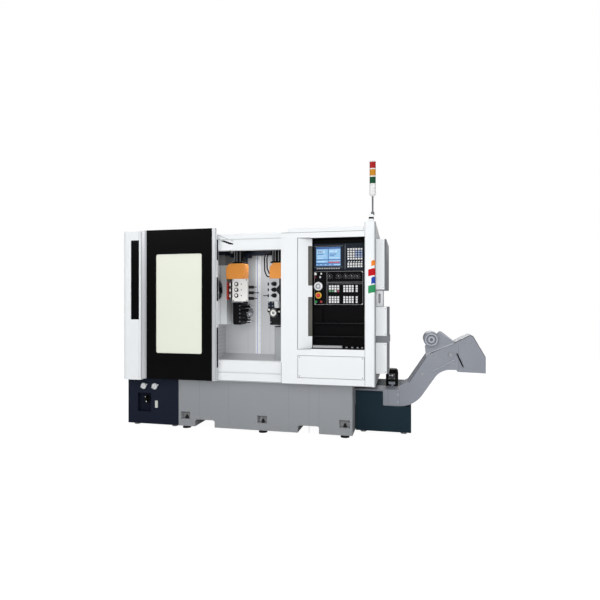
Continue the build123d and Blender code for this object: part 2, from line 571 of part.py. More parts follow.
with BuildPart() as emergency_stop:
    rod("Y", STOP_AT, PANEL_FRONT - STOP_HEIGHT, PANEL_FRONT - RING_HEIGHT - BUTTON_TRAVEL - 1, STOP_RADIUS)
    fillet(emergency_stop.edges().filter_by(GeomType.CIRCLE).sort_by(Axis.Y)[0], 7)
    rod("Y", STOP_AT, PANEL_FRONT - RING_HEIGHT - BUTTON_TRAVEL - 1, PANEL_FRONT + 7, STOP_STEM_RADIUS)
emergency_stop.part.label = "emergency_stop"
export_step(emergency_stop.part, "parts/emergency_stop.step")

with BuildPart() as key_switch:
    rod("Y", KEY_SWITCH_AT, PANEL_FRONT - 5, PANEL_FRONT + 9, 6)
    block(KEY_SWITCH_AT[0] - 1.5, KEY_SWITCH_AT[0] + 1.5, PANEL_FRONT - 24, PANEL_FRONT - 5,
          KEY_SWITCH_AT[1] - 8, KEY_SWITCH_AT[1] + 8)
key_switch.part.label = "key_switch"
export_step(key_switch.part, "parts/key_switch.step")

for name, centre in BUTTONS.items():
    with BuildPart() as push_button:
        rod("Y", centre, PANEL_FRONT - BUTTON_TRAVEL - 2, PANEL_FRONT + 12 - BUTTON_TRAVEL - 1, BUTTON_RADIUS)
        chamfer(push_button.edges().filter_by(GeomType.CIRCLE).sort_by(Axis.Y)[0], 1.5)
    push_button.part.label = name
    export_step(push_button.part, f"parts/{name}.step")

# Mains switch in the pocket of the left cabinet
SWITCH_AT = (POCKET_LEFT + 82.0, POCKET_LOW + 108.0)
SWITCH_BACK = BASE_FRONT + 25.0
with BuildPart() as mains_switch:
    rod("Y", SWITCH_AT, SWITCH_BACK - 16, SWITCH_BACK - SEAT_GAP, 30)
    block(SWITCH_AT[0] - 9, SWITCH_AT[0] + 9, SWITCH_BACK - 34, SWITCH_BACK - 15, SWITCH_AT[1] - 34,
          SWITCH_AT[1] + 34)
mains_switch.part.label = "mains_switch"
export_step(mains_switch.part, "parts/mains_switch.step")

# Sliding door: black leaf round the window, guide tongues in the two grooves, silver edge profiles
PANEL_X0 = DOOR_LEFT + TRIM_LEFT_WIDTH
PANEL_X1 = DOOR_RIGHT - TRIM_RIGHT_WIDTH
DOOR_BACK = FRONT + DOOR_THICKNESS
WINDOW_X0 = PANEL_X0 + WINDOW_INSET
WINDOW_TOP = WINDOW_BOTTOM + WINDOW_HEIGHT
with BuildPart() as door_panel:
    block(PANEL_X0, PANEL_X1, FRONT + 2, DOOR_BACK, DOOR_BOTTOM, DOOR_TOP)
    with BuildSketch(Plane.XZ.offset(-DOOR_BACK)):
        with Locations((WINDOW_X0 + WINDOW_WIDTH / 2, WINDOW_BOTTOM + WINDOW_HEIGHT / 2)):
            RectangleRounded(WINDOW_WIDTH - 20, WINDOW_HEIGHT - 20, 12)
    extrude(amount=DOOR_THICKNESS, mode=Mode.SUBTRACT)
    with BuildSketch(Plane.XZ.offset(-(FRONT + 2 + WINDOW_STEP + WINDOW_THICKNESS))):
        with Locations((WINDOW_X0 + WINDOW_WIDTH / 2, WINDOW_BOTTOM + WINDOW_HEIGHT / 2)):
            RectangleRounded(WINDOW_WIDTH, WINDOW_HEIGHT, 16)
    extrude(amount=WINDOW_STEP + WINDOW_THICKNESS + 1, mode=Mode.SUBTRACT)
    for groove_z in (GROOVE_Z, TOP_GROOVE_Z):
        for tongue_x in (PANEL_X0 + 60, PANEL_X1 - 120):
            block(tongue_x, tongue_x + 60, DOOR_BACK, SKIN_FRONT + 10,
                  groove_z - GROOVE_HEIGHT / 2 + SLIDER_CLEARANCE,
                  groove_z + GROOVE_HEIGHT / 2 - SLIDER_CLEARANCE)
door_panel.part.label = "door_panel"
export_step(door_panel.part, "parts/door_panel.step")

with BuildPart() as door_window:
    with BuildSketch(Plane.XZ.offset(-(FRONT + 2 + WINDOW_STEP + WINDOW_THICKNESS))):
        with Locations((WINDOW_X0 + WINDOW_WIDTH / 2, WINDOW_BOTTOM + WINDOW_HEIGHT / 2)):
            RectangleRounded(WINDOW_WIDTH - 2 * SEAT_GAP, WINDOW_HEIGHT - 2 * SEAT_GAP, 16)
    extrude(amount=WINDOW_THICKNESS)
door_window.part.label = "door_window"
export_step(door_window.part, "parts/door_window.step")

with BuildPart() as door_trim:
    for trim_x0, trim_x1 in ((DOOR_LEFT, PANEL_X0), (PANEL_X1, DOOR_RIGHT)):
        plan(DOOR_BOTTOM, DOOR_TOP, [
            (trim_x0, DOOR_BACK), (trim_x0, FRONT + 4), (trim_x0 + 4, FRONT),
            (trim_x1 - 14, FRONT), (trim_x1 - 10, FRONT + 8), (trim_x1 - 4, FRONT + 8),
            (trim_x1, FRONT + 4), (trim_x1, DOOR_BACK),
        ])
door_trim.part.label = "door_trim"
export_step(door_trim.part, "parts/door_trim.step")

# Headstock: housing on the left pedestal, bored for the spindle, with the front bearing cap
CHUCK_BACK = CHUCK_FACE_X - CHUCK_LENGTH
CAP_LENGTH = 12.0
HEAD_RIGHT = CHUCK_BACK - CAP_LENGTH - 2.0
SCREEN_WALL_RIGHT = -775.0
with BuildPart() as headstock:
    section(COVER_RIGHT, HEAD_RIGHT, [
        (HEAD_FRONT + 60, HEAD_TOP), (HEAD_FRONT, HEAD_TOP - 60), (HEAD_FRONT, HEAD_BOTTOM + 90),
        (HEAD_FRONT + 40, HEAD_BOTTOM), (WALL_Y, HEAD_BOTTOM), (WALL_Y, HEAD_TOP),
    ])
    rod("X", (SPINDLE_Y, SPINDLE_Z), HEAD_RIGHT, HEAD_RIGHT + CAP_LENGTH, CHUCK_RADIUS + 14)
    block(HEAD_RIGHT - 10, SCREEN_WALL_RIGHT, SPINDLE_Y + CHUCK_RADIUS + 14, BEAM_FRONT, HEAD_BOTTOM, HEAD_TOP)
    rod("X", (SPINDLE_Y, SPINDLE_Z), COVER_RIGHT - 1, CHUCK_BACK + 1, SPINDLE_RADIUS + SPINDLE_CLEARANCE,
        Mode.SUBTRACT)
headstock.part.label = "headstock"
export_step(headstock.part, "parts/headstock.step")

# Main spindle: hollow shaft with its belt pulley and collet chuck, bored for 42 mm bar
SPINDLE_LEFT = COVER_RIGHT - SPINDLE_TAIL
with BuildPart() as main_spindle:
    rod("X", (SPINDLE_Y, SPINDLE_Z), SPINDLE_LEFT, CHUCK_BACK, SPINDLE_RADIUS)
    rod("X", (SPINDLE_Y, SPINDLE_Z), SPINDLE_LEFT + 20, SPINDLE_LEFT + 65, SPINDLE_RADIUS + 30)
    rod("X", (SPINDLE_Y, SPINDLE_Z), CHUCK_BACK, CHUCK_FACE_X, CHUCK_RADIUS)
    chamfer(main_spindle.edges().filter_by(GeomType.CIRCLE).sort_by(Axis.X)[-1], 14)
    rod("X", (SPINDLE_Y, SPINDLE_Z), CHUCK_FACE_X, CHUCK_FACE_X + 12, BAR_RADIUS + 22)
    rod("X", (SPINDLE_Y, SPINDLE_Z), SPINDLE_LEFT, CHUCK_FACE_X + 12, BAR_RADIUS, Mode.SUBTRACT)
main_spindle.part.label = "main_spindle"
export_step(main_spindle.part, "parts/main_spindle.step")

# Machine bed: pedestals under both heads, back frame, and the overhead beam with its two rails
PEDESTAL_LEFT = -20.0
SUB_BED_TOP = SPINDLE_Z - SUB_HEAD_HEIGHT / 2 - RAIL_HEIGHT - SEAT_GAP
BED_RIGHT = FRAME_RIGHT - SHEET
BED_BACK = 400.0
RAIL_YS = (-35.0, 60.0)
SUB_RAIL_YS = (SPINDLE_Y - 80.0, SPINDLE_Y + 80.0)
RAIL_BOTTOM = BEAM_BOTTOM - RAIL_HEIGHT
with BuildPart() as machine_bed:
    block(COVER_RIGHT, HEAD_RIGHT, HEAD_FRONT, WALL_Y, BASE_TOP, HEAD_BOTTOM)
    block(COVER_RIGHT, BED_RIGHT, WALL_Y, BED_BACK, BASE_TOP, BEAM_BOTTOM)
    block(COVER_RIGHT, BED_RIGHT, BEAM_FRONT, BED_BACK, BEAM_BOTTOM, BEAM_TOP)
    block(PEDESTAL_LEFT, BED_RIGHT, HEAD_FRONT, WALL_Y, BASE_TOP, SUB_BED_TOP)
    for rail_y in RAIL_YS:
        block(-850, 160, rail_y - RAIL_WIDTH / 2, rail_y + RAIL_WIDTH / 2, RAIL_BOTTOM, BEAM_BOTTOM)
    for rail_y in SUB_RAIL_YS:
        block(PEDESTAL_LEFT + 4, BED_RIGHT - 10, rail_y - RAIL_WIDTH / 2, rail_y + RAIL_WIDTH / 2,
              SUB_BED_TOP, SUB_BED_TOP + RAIL_HEIGHT)
machine_bed.part.label = "machine_bed"
export_step(machine_bed.part, "parts/machine_bed.step")

# Work area wall: back sheet with its pilaster, the chip slope, and the guard beside the right pedestal
SLOPE_TOP = 560.0
WALL_LEFT = HEAD_RIGHT + SEAT_GAP
WALL_RIGHT = PEDESTAL_LEFT - SEAT_GAP
WALL_FRONT = WALL_Y - SHEET
GUARD_LEFT = -345.0
GUARD_FRONT = -32.0
GUARD_TOP = 850.0
SLOPE_FALL = (SLOPE_TOP - BASE_TOP - SHEET) / (WALL_FRONT - CHANNEL_REAR - 8)
GUARD_LOW = SLOPE_TOP - SLOPE_FALL * (WALL_FRONT - GUARD_FRONT)
with BuildPart() as work_area_wall:
    section(WALL_LEFT, WALL_RIGHT, [
        (WALL_Y, BEAM_BOTTOM), (WALL_FRONT, BEAM_BOTTOM), (WALL_FRONT, SLOPE_TOP + 4),
        (CHANNEL_REAR + 8, BASE_TOP + SHEET), (CHANNEL_REAR + 8, BASE_TOP), (CHANNEL_REAR + 16, BASE_TOP),
        (WALL_Y, SLOPE_TOP),
    ])
    block(-577, -526, WALL_FRONT - 6, WALL_FRONT, SLOPE_TOP + 4, BEAM_BOTTOM)
    section(GUARD_LEFT, WALL_RIGHT, [
        (WALL_FRONT, GUARD_TOP), (GUARD_FRONT, GUARD_TOP), (GUARD_FRONT, GUARD_LOW),
        (WALL_FRONT, SLOPE_TOP + 2),
    ])
work_area_wall.part.label = "work_area_wall"
export_step(work_area_wall.part, "parts/work_area_wall.step")

# Sub-spindle head on its own rails, and the chuck that faces the main spindle
SUB_HEAD_LEFT = SUB_FACE_X + CHUCK_LENGTH + 2.0
SUB_HEAD_RIGHT = SUB_HEAD_LEFT + SUB_HEAD_LENGTH
SUB_CHUCK_RADIUS = 80.0
SUB_SHAFT_RADIUS = 45.0
with BuildPart() as sub_headstock:
    block(SUB_HEAD_LEFT, SUB_HEAD_RIGHT, SPINDLE_Y - SUB_HEAD_DEPTH / 2, SPINDLE_Y + SUB_HEAD_DEPTH / 2,
          SUB_BED_TOP + 1, SPINDLE_Z + SUB_HEAD_HEIGHT / 2)
    chamfer(sub_headstock.faces().sort_by(Axis.Z)[-1].edges().filter_by(Axis.X), 40)
    for rail_y in SUB_RAIL_YS:
        block(SUB_HEAD_LEFT, SUB_HEAD_RIGHT, rail_y - RAIL_WIDTH / 2 - SEAT_GAP,
              rail_y + RAIL_WIDTH / 2 + SEAT_GAP, SUB_BED_TOP, SUB_BED_TOP + RAIL_HEIGHT + SEAT_GAP,
              Mode.SUBTRACT)
    rod("X", (SPINDLE_Y, SPINDLE_Z), SUB_HEAD_LEFT - 1, SUB_HEAD_RIGHT + 1,
        SUB_SHAFT_RADIUS + SPINDLE_CLEARANCE, Mode.SUBTRACT)
sub_headstock.part.label = "sub_headstock"
export_step(sub_headstock.part, "parts/sub_headstock.step")

with BuildPart() as sub_spindle:
    rod("X", (SPINDLE_Y, SPINDLE_Z), SUB_FACE_X, SUB_FACE_X + CHUCK_LENGTH, SUB_CHUCK_RADIUS)
    chamfer(sub_spindle.edges().filter_by(GeomType.CIRCLE).sort_by(Axis.X)[0], 12)
    rod("X", (SPINDLE_Y, SPINDLE_Z), SUB_FACE_X + CHUCK_LENGTH, SUB_HEAD_RIGHT + 20, SUB_SHAFT_RADIUS)
    rod("X", (SPINDLE_Y, SPINDLE_Z), SUB_FACE_X, SUB_FACE_X + 60, BAR_RADIUS, Mode.SUBTRACT)
sub_spindle.part.label = "sub_spindle"
export_step(sub_spindle.part, "parts/sub_spindle.step")

# Gang posts: each hangs from a carriage on the overhead rails and slides up and down on it
COLUMN_FRONT = -40.0
COLUMN_BACK = 60.0
GUIDE_WIDTH = 14.0
GUIDE_DEPTH = 12.0
GUIDE_SPREAD = 25.0
SPINE_BACK = COLUMN_FRONT - 2.0
SPINE_STEP = -110.0
BLOCK_BACK = -200.0
SPINE_TOP = 1428.0
TOOL_Y = -300.0
TOOL_ZS = [SPINDLE_Z + (row - 1) * TOOL_PITCH for row in range(TOOL_ROWS)]
PLATE_TOP_Z = RAIL_BOTTOM - SEAT_GAP
PLATE_LOW_Z = PLATE_TOP_Z - CARRIAGE_PLATE


def make_carriage(middle):
    """Runner blocks round the overhead rails, a plate, and the hanging column with two guides."""
    with BuildPart() as carriage:
        block(middle - 85, middle + 85, RAIL_YS[0] - 28, RAIL_YS[1] + 28, PLATE_LOW_Z, PLATE_TOP_Z)
        for rail_y in RAIL_YS:
            for edge in (rail_y - RAIL_WIDTH / 2 - SEAT_GAP - 14, rail_y + RAIL_WIDTH / 2 + SEAT_GAP):
                block(middle - 70, middle + 70, edge, edge + 14, PLATE_TOP_Z, BEAM_BOTTOM - 2)
        block(middle - 50, middle + 50, COLUMN_FRONT, COLUMN_BACK, LIVE_BOTTOM + 10, PLATE_LOW_Z)
        for guide_x in (middle - GUIDE_SPREAD, middle + GUIDE_SPREAD):
            block(guide_x - GUIDE_WIDTH / 2, guide_x + GUIDE_WIDTH / 2, COLUMN_FRONT - GUIDE_DEPTH,
                  COLUMN_FRONT, LIVE_BOTTOM + 20, PLATE_LOW_Z - 10)
    return carriage.part


def make_tool_block(middle, column_x, left_reach, right_reach, drills, left_bar):
    """Front plate, core and stepped spine, with turning tools in three rows on both sides."""
    half = POST_WIDTH / 2
    core_right = middle - half + CORE_WIDTH
    with BuildPart() as tool_block:
        block(middle - half, middle + half, BLOCK_FRONT, BLOCK_FRONT + BLOCK_PLATE, BLOCK_BOTTOM, BLOCK_TOP)
        block(middle - half, core_right, BLOCK_FRONT + BLOCK_PLATE, BLOCK_BACK, BLOCK_BOTTOM, BLOCK_TOP)
        block((middle - half + column_x) / 2 - 12, core_right - 48, BLOCK_BACK, SPINE_STEP, LIVE_BOTTOM,
              SPINE_TOP)
        block(column_x - 42, column_x + 54, SPINE_STEP, SPINE_BACK, LIVE_BOTTOM, SPINE_TOP)
        for guide_x in (column_x - GUIDE_SPREAD, column_x + GUIDE_SPREAD):
            block(guide_x - GUIDE_WIDTH / 2 - SEAT_GAP, guide_x + GUIDE_WIDTH / 2 + SEAT_GAP,
                  COLUMN_FRONT - GUIDE_DEPTH - SEAT_GAP, COLUMN_FRONT, LIVE_BOTTOM, SPINE_TOP, Mode.SUBTRACT)
        for tool_z in TOOL_ZS:
            rod("X", (TOOL_Y, tool_z), middle - half - left_reach, middle - half, TOOL_RADIUS)
            rod("X", (TOOL_Y, tool_z - 26), core_right, middle + half + right_reach, TOOL_RADIUS)
            rod("Y", (middle - 33, tool_z), BLOCK_FRONT - 6, BLOCK_FRONT, 17)
            rod("Y", (middle - 33, tool_z), BLOCK_FRONT - 6, BLOCK_FRONT + 20, 9, Mode.SUBTRACT)
        for tool_z, drill_reach in zip(TOOL_ZS, drills):
            if drill_reach > 0:
                rod("X", (TOOL_Y, tool_z - 26), middle + half + right_reach,
                    middle + half + right_reach + drill_reach, 4)
            if drill_reach < 0:
                rod("X", (TOOL_Y, tool_z), middle - half - left_reach + drill_reach,
                    middle - half - left_reach, 4)
        if left_bar:
            block(middle - half - left_reach - 14, middle - half - left_reach + 2, TOOL_Y - 18, TOOL_Y + 18,
                  BLOCK_BOTTOM + 16, BLOCK_TOP - 30)
    return tool_block.part


def make_casing(middle, reach_left, reach_right):
    """Belt drive casing above the tool block, with clipped upper corners."""
    with BuildPart() as casing:
        side(BLOCK_FRONT + 4, BLOCK_FRONT + 4 + CASING_DEPTH, [
            (middle - reach_left, BLOCK_TOP), (middle + reach_right, BLOCK_TOP),
            (middle + reach_right, CASING_TOP - 12), (middle + reach_right - 12, CASING_TOP),
            (middle - reach_left + 34, CASING_TOP), (middle - reach_left, CASING_TOP - 34),
        ])
    return casing.part


def make_motor(middle):
    """Servo motor: square flange, ribbed body, rear cap and its side connector."""
    half = MOTOR_SIDE / 2
    motor_y = BLOCK_FRONT + 4 + half
    with BuildPart() as motor:
        with BuildSketch(Plane.XY.offset(CASING_TOP)):
            with Locations((middle, motor_y)):
                RectangleRounded(MOTOR_SIDE, MOTOR_SIDE, 10)
        extrude(amount=12)
        with BuildSketch(Plane.XY.offset(CASING_TOP + 12)):
            with Locations((middle, motor_y)):
                RectangleRounded(MOTOR_SIDE - 20, MOTOR_SIDE - 20, 16)
                for turn in range(4):
                    with Locations(Location((0, 0), 90 * turn)):
                        with Locations((half - 12, 0)):
                            Rectangle(8, 30, mode=Mode.SUBTRACT)
        extrude(amount=MOTOR_TOP - CASING_TOP - 34)
        with BuildSketch(Plane.XY.offset(MOTOR_TOP - 22)):
            with Locations((middle, motor_y)):
                RectangleRounded(MOTOR_SIDE - 30, MOTOR_SIDE - 30, 12)
        extrude(amount=22)
        block(middle - half - 4, middle - half + 20, motor_y - 16, motor_y + 16, MOTOR_TOP - 66, MOTOR_TOP - 26)
    return motor.part


left_carriage = make_carriage(LEFT_COLUMN_X)
left_carriage.label = "left_carriage"
export_step(left_carriage, "parts/left_carriage.step")
right_carriage = make_carriage(RIGHT_COLUMN_X)
right_carriage.label = "right_carriage"
export_step(right_carriage, "parts/right_carriage.step")

left_tool_block = make_tool_block(LEFT_POST_X, LEFT_COLUMN_X, 58, 40, (30, 50, 26), True)
left_tool_block.label = "left_tool_block"
export_step(left_tool_block, "parts/left_tool_block.step")
right_tool_block = make_tool_block(RIGHT_POST_X, RIGHT_COLUMN_X, 28, 34, (-44, 20, 20), False)
right_tool_block.label = "right_tool_block"
export_step(right_tool_block, "parts/right_tool_block.step")

left_post_casing = make_casing(LEFT_POST_X, 135, 42)
left_post_casing.label = "left_post_casing"
export_step(left_post_casing, "parts/left_post_casing.step")
right_post_casing = make_casing(RIGHT_POST_X, 69, 82)
right_post_casing.label = "right_post_casing"
export_step(right_post_casing, "parts/right_post_casing.step")

left_post_motor = make_motor(LEFT_POST_X - 25)
left_post_motor.label = "left_post_motor"
export_step(left_post_motor, "parts/left_post_motor.step")
RIGHT_MOTOR_X = RIGHT_POST_X - 11.0
right_post_motor = make_motor(RIGHT_MOTOR_X)
right_post_motor.label = "right_post_motor"
export_step(right_post_motor, "parts/right_post_motor.step")

# Live tool units under the tool blocks: gear housing, side spindles and one driven nose each
NOSE_Z = 985.0
NOSE_SHAFT = 12.0
LEFT_NOSE_RADIUS = 37.0
RIGHT_NOSE_RADIUS = 40.0
LIVE_RIGHT = LEFT_POST_X + 70.0
with BuildPart() as left_live_unit:
    block(LEFT_POST_X - 62, LEFT_POST_X + 6, BLOCK_FRONT, BLOCK_BACK, LIVE_BOTTOM, LIVE_TOP)
    block(LEFT_POST_X - 48, LEFT_POST_X + 6, BLOCK_BACK - 60, BLOCK_BACK, LIVE_TOP, BLOCK_BOTTOM)
    rod("X", (TOOL_Y, NOSE_Z), LEFT_POST_X + 6, LIVE_RIGHT, 54)
    for live_z in (NOSE_Z - 78, NOSE_Z + 62):
        rod("X", (TOOL_Y - 10, live_z), LEFT_POST_X + 6, LIVE_RIGHT + 14, 17)
        rod("X", (TOOL_Y - 10, live_z), LIVE_RIGHT + 14, LIVE_RIGHT + 44, 5)
    rod("X", (TOOL_Y, NOSE_Z), LIVE_RIGHT - 40, LIVE_RIGHT + 1, NOSE_SHAFT + SPINDLE_CLEARANCE, Mode.SUBTRACT)
left_live_unit.part.label = "left_live_unit"
export_step(left_live_unit.part, "parts/left_live_unit.step")

with BuildPart() as left_live_nose:
    rod("X", (TOOL_Y, NOSE_Z), LIVE_RIGHT + SEAT_GAP, LIVE_RIGHT + 26, LEFT_NOSE_RADIUS)
    rod("X", (TOOL_Y, NOSE_Z), LIVE_RIGHT - 38, LIVE_RIGHT + SEAT_GAP, NOSE_SHAFT)
    with BuildSketch(Plane.YZ.offset(LIVE_RIGHT + 26)):
        with Locations((TOOL_Y, NOSE_Z)):
            with PolarLocations(LEFT_NOSE_RADIUS, 8):
                Circle(7)
    extrude(amount=-16, mode=Mode.SUBTRACT)
    rod("X", (TOOL_Y, NOSE_Z), LIVE_RIGHT + 26, LIVE_RIGHT + 38, 12)
left_live_nose.part.label = "left_live_nose"
export_step(left_live_nose.part, "parts/left_live_nose.step")

RIGHT_NOSE_X = RIGHT_POST_X - 24.0
with BuildPart() as right_live_unit:
    block(RIGHT_POST_X - 73, RIGHT_POST_X + 62, BLOCK_FRONT + 30, BLOCK_BACK, LIVE_BOTTOM, BLOCK_BOTTOM)
    block(RIGHT_POST_X - 83, RIGHT_POST_X - 30, BLOCK_FRONT, BLOCK_FRONT + 30, NOSE_Z + 20, BLOCK_BOTTOM - 2)
    rod("Z", (RIGHT_POST_X, BLOCK_FRONT + 12), NOSE_Z + RIGHT_NOSE_RADIUS + 4, BLOCK_BOTTOM, 27)
    rod("X", (BLOCK_FRONT + 56, NOSE_Z + 18), RIGHT_POST_X - 100, RIGHT_POST_X - 73, 15)
    rod("Y", (RIGHT_NOSE_X, NOSE_Z), BLOCK_FRONT - 2, BLOCK_FRONT + 40, 34)
    rod("Y", (RIGHT_NOSE_X, NOSE_Z), BLOCK_FRONT - 3, BLOCK_FRONT + 34, NOSE_SHAFT + SPINDLE_CLEARANCE,
        Mode.SUBTRACT)
right_live_unit.part.label = "right_live_unit"
export_step(right_live_unit.part, "parts/right_live_unit.step")

with BuildPart() as right_live_nose:
    rod("Y", (RIGHT_NOSE_X, NOSE_Z), BLOCK_FRONT - 36, BLOCK_FRONT - 2 - SEAT_GAP, RIGHT_NOSE_RADIUS)
    chamfer(right_live_nose.edges().filter_by(GeomType.CIRCLE).sort_by(Axis.Y)[0], 10)
    rod("Y", (RIGHT_NOSE_X, NOSE_Z), BLOCK_FRONT - 2 - SEAT_GAP, BLOCK_FRONT + 32, NOSE_SHAFT)
    with BuildSketch(Plane.XZ.offset(-(BLOCK_FRONT - 36))):
        with Locations((RIGHT_NOSE_X, NOSE_Z)):
            Rectangle(50, 8)
            Rectangle(8, 50)
    extrude(amount=-8, mode=Mode.SUBTRACT)
right_live_nose.part.label = "right_live_nose"
export_step(right_live_nose.part, "parts/right_live_nose.step")

# Motor leads of the right post: two black cables from the connector down to the drive casing
CABLE_RADIUS = 6.0
CABLE_YS = (-312.0, -294.0)
CABLE_TOP_X = RIGHT_MOTOR_X - MOTOR_SIDE / 2 - 4.0
CABLE_LOW_X = RIGHT_POST_X - 69.0
with BuildPart() as motor_cables:
    for bulge, low_z, cable_y in ((62, 1312, CABLE_YS[0]), (44, 1336, CABLE_YS[1])):
        with BuildLine() as lead:
            FilletPolyline(
                (CABLE_TOP_X, cable_y, 1526), (CABLE_TOP_X - bulge + 14, cable_y, 1526),
                (CABLE_TOP_X - bulge, cable_y, 1478), (CABLE_TOP_X - bulge + 2, cable_y, low_z + 52),
                (CABLE_TOP_X - bulge + 24, cable_y, low_z), (CABLE_LOW_X, cable_y, low_z),
                radius=22,
            )
        with BuildSketch(Plane(lead.line @ 0, z_dir=lead.line % 0)):
            Circle(CABLE_RADIUS)
        sweep(path=lead.line)
motor_cables.part.label = "motor_cables"
export_step(motor_cables.part, "parts/motor_cables.step")

# Coolant tank: closed sheet tank, low under the conveyor and high behind it, with a front screen
TANK_REAR = TANK_FRONT + TANK_DEPTH
TANK_STEP_Y = CONVEYOR_FRONT + CONVEYOR_WIDTH + 10.0
PUMP_AT = (TANK_LEFT + 289.0, -225.0)
PUMP_RADIUS = 52.0
PUMP_TOP = 501.0
with BuildPart() as coolant_tank:
    section(TANK_LEFT, TANK_RIGHT, [
        (TANK_FRONT, FLOOR_GAP), (TANK_REAR, FLOOR_GAP), (TANK_REAR, TANK_TOP), (TANK_STEP_Y, TANK_TOP),
        (TANK_STEP_Y, TANK_LOW_TOP), (TANK_FRONT, TANK_LOW_TOP),
    ])
    section(TANK_LEFT + SHEET, TANK_RIGHT - SHEET, [
        (TANK_FRONT + SHEET, FLOOR_GAP + SHEET), (TANK_REAR - SHEET, FLOOR_GAP + SHEET),
        (TANK_REAR - SHEET, TANK_TOP - SHEET), (TANK_STEP_Y + SHEET, TANK_TOP - SHEET),
        (TANK_STEP_Y + SHEET, TANK_LOW_TOP - SHEET), (TANK_FRONT + SHEET, TANK_LOW_TOP - SHEET),
    ], Mode.SUBTRACT)
    block(TANK_LEFT, TANK_SCREEN_RIGHT, TANK_FRONT, TANK_FRONT + SHEET, TANK_LOW_TOP, TANK_TOP)
    rod("Z", PUMP_AT, TANK_TOP - SHEET - 1, TANK_TOP + 1, 34, Mode.SUBTRACT)
    for caster_x in (TANK_LEFT + 60, TANK_RIGHT - 60):
        for caster_y in (TANK_FRONT + 60, TANK_REAR - 60):
            rod("Z", (caster_x, caster_y), 0, FLOOR_GAP, 25)
coolant_tank.part.label = "coolant_tank"
export_step(coolant_tank.part, "parts/coolant_tank.step")

# Coolant pump: black motor with terminal box on a flange, its stem down into the tank
with BuildPart() as coolant_pump:
    rod("Z", PUMP_AT, TANK_TOP, TANK_TOP + 8, 62)
    rod("Z", PUMP_AT, TANK_TOP + 8, PUMP_TOP - 8, PUMP_RADIUS)
    rod("Z", PUMP_AT, PUMP_TOP - 8, PUMP_TOP, PUMP_RADIUS - 8)
    rod("Z", PUMP_AT, 60, TANK_TOP, 28)
    block(PUMP_AT[0] - 32, PUMP_AT[0] + 32, PUMP_AT[1] - 74, PUMP_AT[1], TANK_TOP + 66, PUMP_TOP - 30)
    block(PUMP_AT[0] - 12, PUMP_AT[0] + 12, PUMP_AT[1] - 70, PUMP_AT[1], TANK_TOP + 20, TANK_TOP + 52)
coolant_pump.part.label = "coolant_pump"
export_step(coolant_pump.part, "parts/coolant_pump.step")

# Conveyor casing: level trough, curved foot, steep incline, raised head and the discharge hood
INCLINE_ANGLE = 56.0
HEAD_ANGLE = 27.3
COLLAR_X = TANK_LEFT + 358.0
INCLINE_FOOT_X = COLLAR_X + 112.6
HEAD_FLOOR_Z = 541.0
FOOT_BEND = 225.0
HEAD_BEND = 150.0
HOOD_LEFT = COLLAR_X + 453.0
HOOD_BOTTOM = 521.0
HOOD_STEP_Z = 649.0
HOOD_PEAK = (COLLAR_X + 548.0, 824.0)
HOOD_SHOULDER = (COLLAR_X + 572.0, 813.0)
CHUTE_END = COLLAR_X + 665.0
HEAD_TOP_CORNER = (COLLAR_X + 209.0, 649.0)
CASING_FOOT_CORNER = (COLLAR_X + 67.0, 434.0)
COLLAR_Z = 400.0
TROUGH_TOP = TROUGH_BOTTOM + TROUGH_HEIGHT
CONVEYOR_REAR = CONVEYOR_FRONT + CONVEYOR_WIDTH
INCLINE_TOP_X = INCLINE_FOOT_X + (HEAD_FLOOR_Z - TROUGH_BOTTOM) / tan(radians(INCLINE_ANGLE))
MOUTH_LEFT = CONVEYOR_TAIL + 20.0
SHAFT_X = COLLAR_X + 399.0
SHAFT_AT = (SHAFT_X, 662.5)
DRIVE_SHAFT_RADIUS = 15.0


def casing_outline(inset, rear):
    """Side view of the casing at its rear plane, drawn inset by the sheet for its inside."""
    with BuildSketch(Plane.XZ.offset(-rear)) as outline:
        with BuildLine():
            Polyline(
                (CONVEYOR_TAIL - 10, TROUGH_BOTTOM), (INCLINE_FOOT_X, TROUGH_BOTTOM),
                (INCLINE_TOP_X, HEAD_FLOOR_Z), (HOOD_LEFT, HEAD_FLOOR_Z), (HOOD_LEFT, HOOD_BOTTOM + 5),
                (CHUTE_END, HOOD_BOTTOM), (CHUTE_END, HOOD_STEP_Z), HOOD_SHOULDER, HOOD_PEAK,
                HEAD_TOP_CORNER, CASING_FOOT_CORNER, (COLLAR_X, COLLAR_Z), (COLLAR_X, TROUGH_TOP),
                (CONVEYOR_TAIL - 10, TROUGH_TOP), close=True,
            )
        make_face()
        foot = outline.vertices().sort_by_distance((INCLINE_FOOT_X, TROUGH_BOTTOM, 0))[0]
        fillet(foot, FOOT_BEND)
        head = outline.vertices().sort_by_distance((INCLINE_TOP_X, HEAD_FLOOR_Z, 0))[0]
        fillet(head, HEAD_BEND)
        if inset:
            offset(amount=-inset, mode=Mode.REPLACE)
    return outline.sketch


